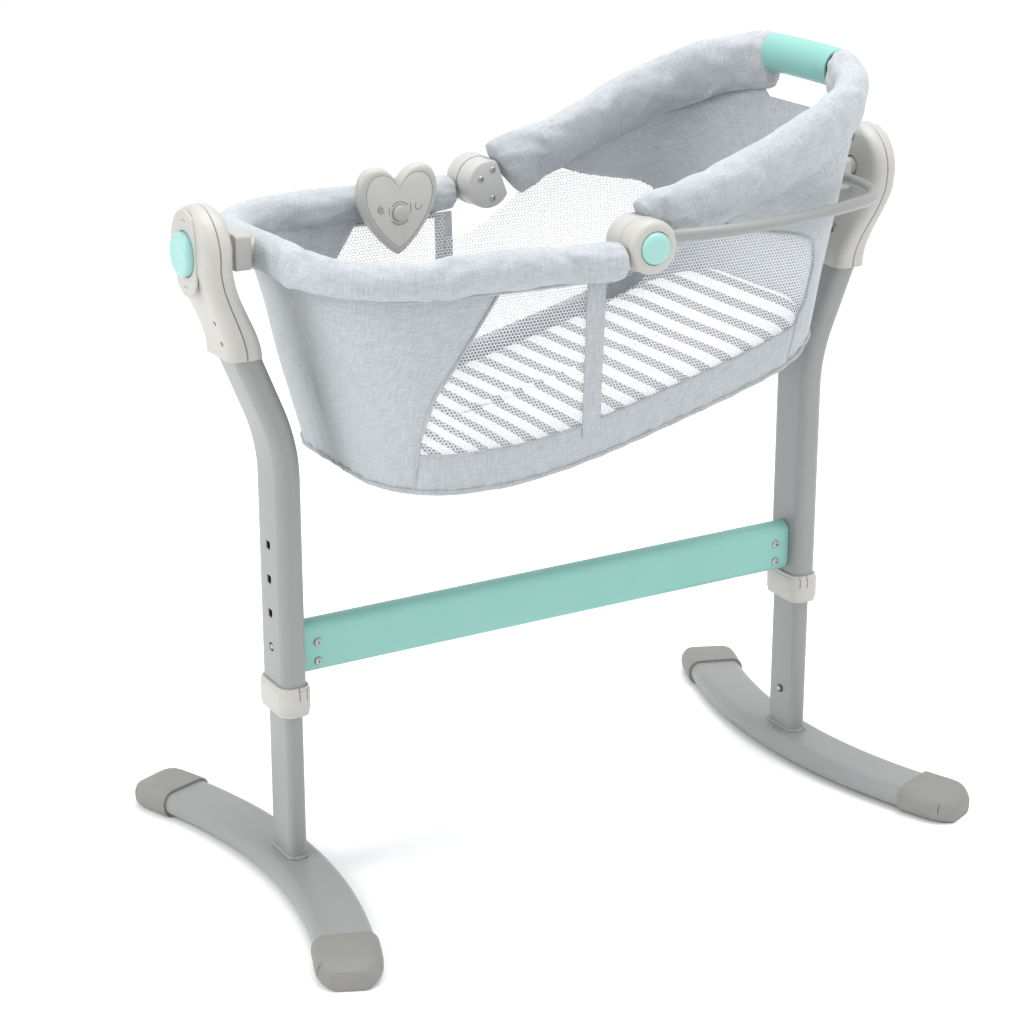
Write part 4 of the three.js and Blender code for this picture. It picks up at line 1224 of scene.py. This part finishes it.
KNITTING = knitting()
CELL = 0.0038
STRAND = 0.00044


def net_mesh(side, low_x, high_x):
    """Strands of the net on one long side, between two distances along it."""
    step = CELL / math.sqrt(3)
    points, index, edges = [], {}, []

    def inside(x, z):
        if not low_x <= x <= high_x:
            return False
        level = level_at(x, z)
        top = 0.93 if abs(x) > 0.045 else 0.80
        return (foot_seam(level) - 0.004 < x < head_seam(level) + 0.004
                and band_level(x) - 0.02 < level < top)

    columns = int((high_x - low_x) / (CELL / 2)) + 2
    for i in range(columns):
        for j in range(int(0.26 / (step * 1.5))):
            x = low_x + i * CELL / 2
            z = 0.44 + j * step * 1.5
            for part, rise in ((0, 0.0), (1, step)):
                if (i + j) % 2 == 0:
                    index[(i, j, part)] = (x, z + rise)
    numbered = {}
    for key, (x, z) in index.items():
        if inside(x, z):
            numbered[key] = len(points)
            points.append(wall_xz(x, z, side, -0.0008))
    for (i, j, part), number in numbered.items():
        if part == 0 and (i, j, 1) in numbered:
            edges.append((number, numbered[(i, j, 1)]))
        if part == 1:
            for beside in ((i - 1, j + 1, 0), (i + 1, j + 1, 0)):
                if beside in numbered:
                    edges.append((number, numbered[beside]))
    drawn = bpy.data.meshes.new("drawn")
    drawn.from_pydata([tuple(p) for p in points], edges, [])
    return grown(drawn, KNITTING, Strand=STRAND, Sides=4, Finish=NET)


for side, sign in (("near", -1), ("far", 1)):
    piece(f"net_foot_{side}", net_mesh(sign, -0.245, STRAP_X), NET, "basket")
    piece(f"net_head_{side}", net_mesh(sign, STRAP_X, 0.238), NET, "basket",
          bend=LEAN)


# ---- Piping and seams ----
# Corded piping in the same cloth closes the seams: under the foot sleeve, round the floor, along
# the diagonal edge of the foot panel and round the edge of the head panel.
PIPING = heather("piping_cloth", (0.44, 0.465, 0.48), (0.29, 0.31, 0.325), 0.15)


def cord_along(name, points, radius, bend=None):
    piece(name, tube(points, radius, 10, 0.006), PIPING, "basket", crease=80,
          bend=bend)


floor_loop = ([wall(i / 60, 0.012, -1, 0.0016) for i in range(61)]
              + [wall(i / 60, 0.012, 1, 0.0016) for i in range(59, -1, -1)])
cord_along("floor_piping", floor_loop, 0.0026)
for side, sign in (("near", -1), ("far", 1)):
    seam = [wall(share_at(foot_seam(t), t), t, sign, 0.0014) for t in
            [0.02 + 0.9 * i / 24 for i in range(25)]]
    cord_along(f"foot_seam_{side}", seam, 0.0017)
    seam = [wall(share_at(head_seam(t), t), t, sign, 0.0014) for t in
            [0.03 + 0.90 * i / 30 for i in range(31)]]
    cord_along(f"head_seam_{side}", seam, 0.0017, bend=LEAN)
    edge = [wall(share_at(x, band_level(x)), band_level(x), sign, 0.0018) for x in
            [foot_seam(0.2) + (head_seam(0.2) - foot_seam(0.2)) * i / 40 for i in range(41)]]
    cord_along(f"band_edge_{side}", edge, 0.0015)
UNDER = 0.905
under_sleeve = [wall(share_at(-0.05, UNDER) * k / 40, UNDER, side, 0.004)
                for side, order in ((-1, range(40, -1, -1)), (1, range(0, 41)))
                for k in order]
cord_along("foot_sleeve_piping", under_sleeve, 0.0024)


# ---- Floor board and mattress ----
# A cloth-covered board closes the bottom. A thin stuffed mattress in a striped cotton sheet lies
# on it, white with soft grey stripes across its width.
def pad_ring(inset, height):
    """A level line round the floor, drawn in from its edge; its long sides follow the slope."""
    half = 0.146 - inset
    steps = 10
    corner = min(max(0.092 - inset, 0.016), half * 0.9)
    corners = rounded(0.534 - 2 * inset, 2 * half, corner, steps)
    ring = []
    for i, (x, y) in enumerate(corners):
        ring.append((x, y))
        if i % (steps + 1) == steps:
            next_x, next_y = corners[(i + 1) % len(corners)]
            stops = 30 if i // (steps + 1) % 2 else 8
            ring += [(x + (next_x - x) * k / stops, y + (next_y - y) * k / stops)
                     for k in range(1, stops)]
    return [Vector((x + 0.005, y, floor_line(x + 0.005) + height)) for x, y in ring]


MIDDLE = 0.143
board_profile = [(MIDDLE, -0.0075), (0.075, -0.0075), (0.03, -0.0072), (0.012, -0.0065),
                 (0.006, -0.0045), (0.0035, -0.001), (0.0035, 0.003), (0.006, 0.0052),
                 (0.03, 0.0055), (0.075, 0.0055), (MIDDLE, 0.0055)]
board = skin([pad_ring(*pair) for pair in board_profile])
piece("floor_board_cover", board, HEATHER, "basket", ["floor_board"],
      crease=60)


STRIPE = 0.0265


def striped_sheet():
    cotton = Finish("striped_sheet", Roughness=0.92, Sheen_Weight=0.15)
    place = cotton.coords()
    split = cotton.node("ShaderNodeSeparateXYZ", {0: place})
    wobble = cotton.grain(30, 2)
    across = split + 0.0006 * (wobble - 0.5)
    wave = cotton.node("ShaderNodeMath", {0: across * (math.tau / STRIPE)}, operation="SINE")
    stripe = cotton.ramp(wave, 0.02, 0.22)
    yarn = cotton.grain(1.0, 2, stretch=(1500, 300, 900))
    white = cotton.blend(yarn, (0.66, 0.662, 0.675), (0.74, 0.742, 0.755))
    grey = cotton.blend(yarn, (0.20, 0.204, 0.216), (0.27, 0.275, 0.288))
    cotton.set(Base_Color=cotton.blend(stripe, white, grey))
    return cotton.bump(yarn, 0.0003, 0.5).material


SHEET = striped_sheet()
TOP = 0.033
mattress_profile = [(MIDDLE, 0.0062), (0.060, 0.0062), (0.020, 0.0062), (0.0095, 0.0075),
                    (0.0072, 0.0125), (0.0072, 0.022), (0.0095, 0.0275), (0.0150, 0.0312),
                    (0.024, 0.0325), (0.036, TOP), (0.050, TOP), (0.066, TOP), (0.082, TOP),
                    (0.098, TOP), (0.114, TOP), (0.130, TOP), (MIDDLE, TOP)]


def mattress_ring(inset, height):
    ring = pad_ring(inset, height)
    rumple = 0.0010 if height > 0.03 else 0.0006
    return [p + UP * rumple * noise.noise(p * 14) for p in ring]


stuffed = skin([mattress_ring(*pair) for pair in mattress_profile])
underside = list(range(3 * len(pad_ring(0.01, 0))))
stuffed = fine(swell(stuffed, underside, pressure=1.5, cap=0.0010, growth=0.015))
made = piece("mattress_pad", stuffed, SHEET, "basket", ["mattress"], crease=80)


# ---- Carry grip ----
# A moulded mint sleeve of one thin wall, snapped over the middle of the head rim between the two
# halves of the padding. It is slit along its underside.
grip_turns = [math.radians(-80 + 340 * i / 32) for i in range(33)]
grip_section = ([(0.0180 * math.cos(a), 0.0215 * math.sin(a)) for a in grip_turns]
                + [(0.0150 * math.cos(a), 0.0185 * math.sin(a)) for a in grip_turns[::-1]])
grip_line = flow([p for p in flow(head_rim, 0.006)
                  if p.x > 0.2 and abs(p.y) <= GRIP_HALF + 0.001], 0.004)
piece("grip_shell", loft(grip_section, stations(grip_line)), MINT, "head_rim",
      ["carry_grip"], edge=0.0009, crease=50)


# ---- Soother ----
# A heart-shaped case of two moulded halves hangs on the far handrail by a sprung clip. Its face
# is a slightly greyer plate with a round key and a few plain symbols.
HEART_X, HEART_Z = -0.119, 0.687
HEART_FRONT = 0.166 - 0.0251 - 0.0003 - 0.017
KEY_Z = HEART_Z - 0.004


def bezier(p0, p1, p2, p3):
    out = []
    for i in range(20):
        t = i / 20
        k = 1 - t
        out.append(tuple(k ** 3 * a + 3 * k * k * t * b + 3 * k * t * t * c + t ** 3 * d
                         for a, b, c, d in zip(p0, p1, p2, p3)))
    return out


def heart(w, h):
    """A heart's outline, whose right half is three curves from its point up to its notch."""
    x = w / 2
    right = (bezier((0, -h * 0.52), (x * 0.25, -h * 0.47), (x, -h * 0.1), (x, h * 0.2))
             + bezier((x, h * 0.2), (x, h * 0.42), (x * 0.75, h * 0.48), (x * 0.55, h * 0.48))
             + bezier((x * 0.55, h * 0.48), (x * 0.25, h * 0.48), (x * 0.12, h * 0.36),
                      (0, h * 0.3)))
    left = [(-px, py) for px, py in reversed(right[1:])]
    return right + [(0, h * 0.3)] + left


def heart_block(w, h, layers):
    """A heart built up in layers of (inset, depth from the front)."""
    loops = []
    for inset, deep in layers:
        y = HEART_FRONT + deep
        loops.append([Vector((HEART_X + px, y, HEART_Z + pz))
                      for px, pz in heart(w - 2 * inset, h - 2 * inset)])
    return skin(loops)


case = heart_block(0.096, 0.098, [(0.0090, -0.0002), (0.0062, 0.0), (0.0036, 0.0008),
                                  (0.0016, 0.0024), (0.0004, 0.0050), (0.0, 0.0082),
                                  (0.0002, 0.0086), (0.0005, 0.0088), (0.0002, 0.0090),
                                  (0.0, 0.0094), (0.0006, 0.0128), (0.0022, 0.0152),
                                  (0.0050, 0.0168)])
seat = heart_block(0.0805, 0.0815, [(0, -0.01), (0, 0.0007)])
key_room = straight(circle(0.0093, 40), (HEART_X, HEART_FRONT - 0.01, KEY_Z),
                    (HEART_X, HEART_FRONT + 0.0022, KEY_Z))
piece("soother_shell", carve(case, [seat, key_room.copy()]), OFF_WHITE, "basket",
      ["soother_case"], crease=30)
plate = heart_block(0.0795, 0.0805, [(0.0, 0.0030), (0.0, 0.0004), (0.0003, 0.0),
                                     (0.0010, -0.0002)])
PLATE = moulded("soother_plate", (0.54, 0.535, 0.515), (0.51, 0.505, 0.485), 0.36)
piece("soother_plate", carve(plate, [key_room]), PLATE, "basket",
      ["soother_face"], crease=30)
key = turned([(0.0088, 0.0018), (0.0089, 0.0042), (0.0084, 0.0052), (0.0070, 0.0058),
              (0.0035, 0.0060), (0.0001, 0.0060)],
             facing((HEART_X, HEART_FRONT + 0.0015, KEY_Z), (0, -1, 0)), 40)
piece("soother_push", key, OFF_WHITE, "soother_key", ["soother_key"])
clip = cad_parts["soother_clip"]
clip.data.materials.clear()
clip.data.materials.append(OFF_WHITE)


def mark_stroke(points):
    """A raised line on the plate, through (across, up) points."""
    return tube([Vector((HEART_X + x, HEART_FRONT - 0.0002, HEART_Z + z)) for x, z in points],
                0.00055, 6, 0.002)


def arc(cx, cz, r, start, end):
    turns = [math.radians(start + (end - start) * i / 14) for i in range(15)]
    return [(cx + r * math.cos(a), cz + r * math.sin(a)) for a in turns]


strokes = [arc(-0.0225, 0.002, 0.0042, 100, 330), arc(-0.0225, 0.002, 0.0020, 0, 350),
           arc(0.0225, 0.002, 0.0042, -230, 0), [(0.0225, 0.004), (0.0225, 0.0085)],
           [(-0.013, 0.0085), (-0.013, -0.0045)], [(0.013, 0.0085), (0.013, -0.0045)],
           arc(0.0, -0.004, 0.0125, 40, 140), arc(0.0, -0.004, 0.0125, 220, 320)]
for number, stroke in enumerate(strokes):
    piece(f"soother_mark_{number}", mark_stroke(stroke), GREY_MARK, "basket")


# ---- Setting ----
# A pale floor that runs out to the horizon under an even white sky. A soft key light stands to
# the left, a broad fill to the right in front, and the largest share comes from above.
def sweep():
    floor = Finish("pale_floor", Roughness=0.9)
    haze = floor.grain(2.0, 2)
    floor.set(Base_Color=floor.blend(haze, (0.95, 0.95, 0.95), (0.97, 0.97, 0.97)))
    return floor.material


ground = bpy.data.meshes.new("ground")
ground.from_pydata([(-12, -12, 0), (12, -12, 0), (12, 12, 0), (-12, 12, 0)], [], [(0, 1, 2, 3)])
ground.materials.append(sweep())
put("ground", ground)

world = bpy.data.worlds.new("studio")
scene.world = world
world.use_nodes = True
sky = world.node_tree.nodes["Background"].inputs
sky["Color"].default_value = (0.99, 0.995, 1.0, 1)
sky["Strength"].default_value = 1.0
scene.view_settings.view_transform = "Standard"


def soft_light(name, place, target, size, power):
    lamp = bpy.data.lights.new(name, "AREA")
    lamp.shape = "DISK"
    lamp.size = size
    lamp.energy = power
    holder = put(name, lamp)
    holder.location = place
    aim = Vector(target) - Vector(place)
    holder.rotation_euler = aim.to_track_quat("-Z", "Y").to_euler()


soft_light("key", (-3.2, 0.2, 2.4), (0, 0, 0.5), 2.0, 48)
soft_light("fill", (2.4, -2.4, 2.8), (0, 0, 0.5), 2.6, 22)
soft_light("top", (0.4, 0.0, 3.6), (0, 0, 0.4), 2.4, 75)


# ---- Camera ----
# It stands off the near side towards the foot end, a little above the rims, and looks slightly
# down through a long lens.
azimuth, elevation = math.radians(59.874), math.radians(19.678)
look = Vector((math.cos(azimuth) * math.cos(elevation), math.sin(azimuth) * math.cos(elevation),
               -math.sin(elevation)))
camera = bpy.data.cameras.new("camera")
camera.lens = 93.03
camera.sensor_width = 36.0
camera_holder = put("camera", camera)
camera_holder.location = (-1.4144, -2.3489, 1.3387)
camera_holder.rotation_euler = look.to_track_quat("-Z", "Y").to_euler()
scene.camera = camera_holder
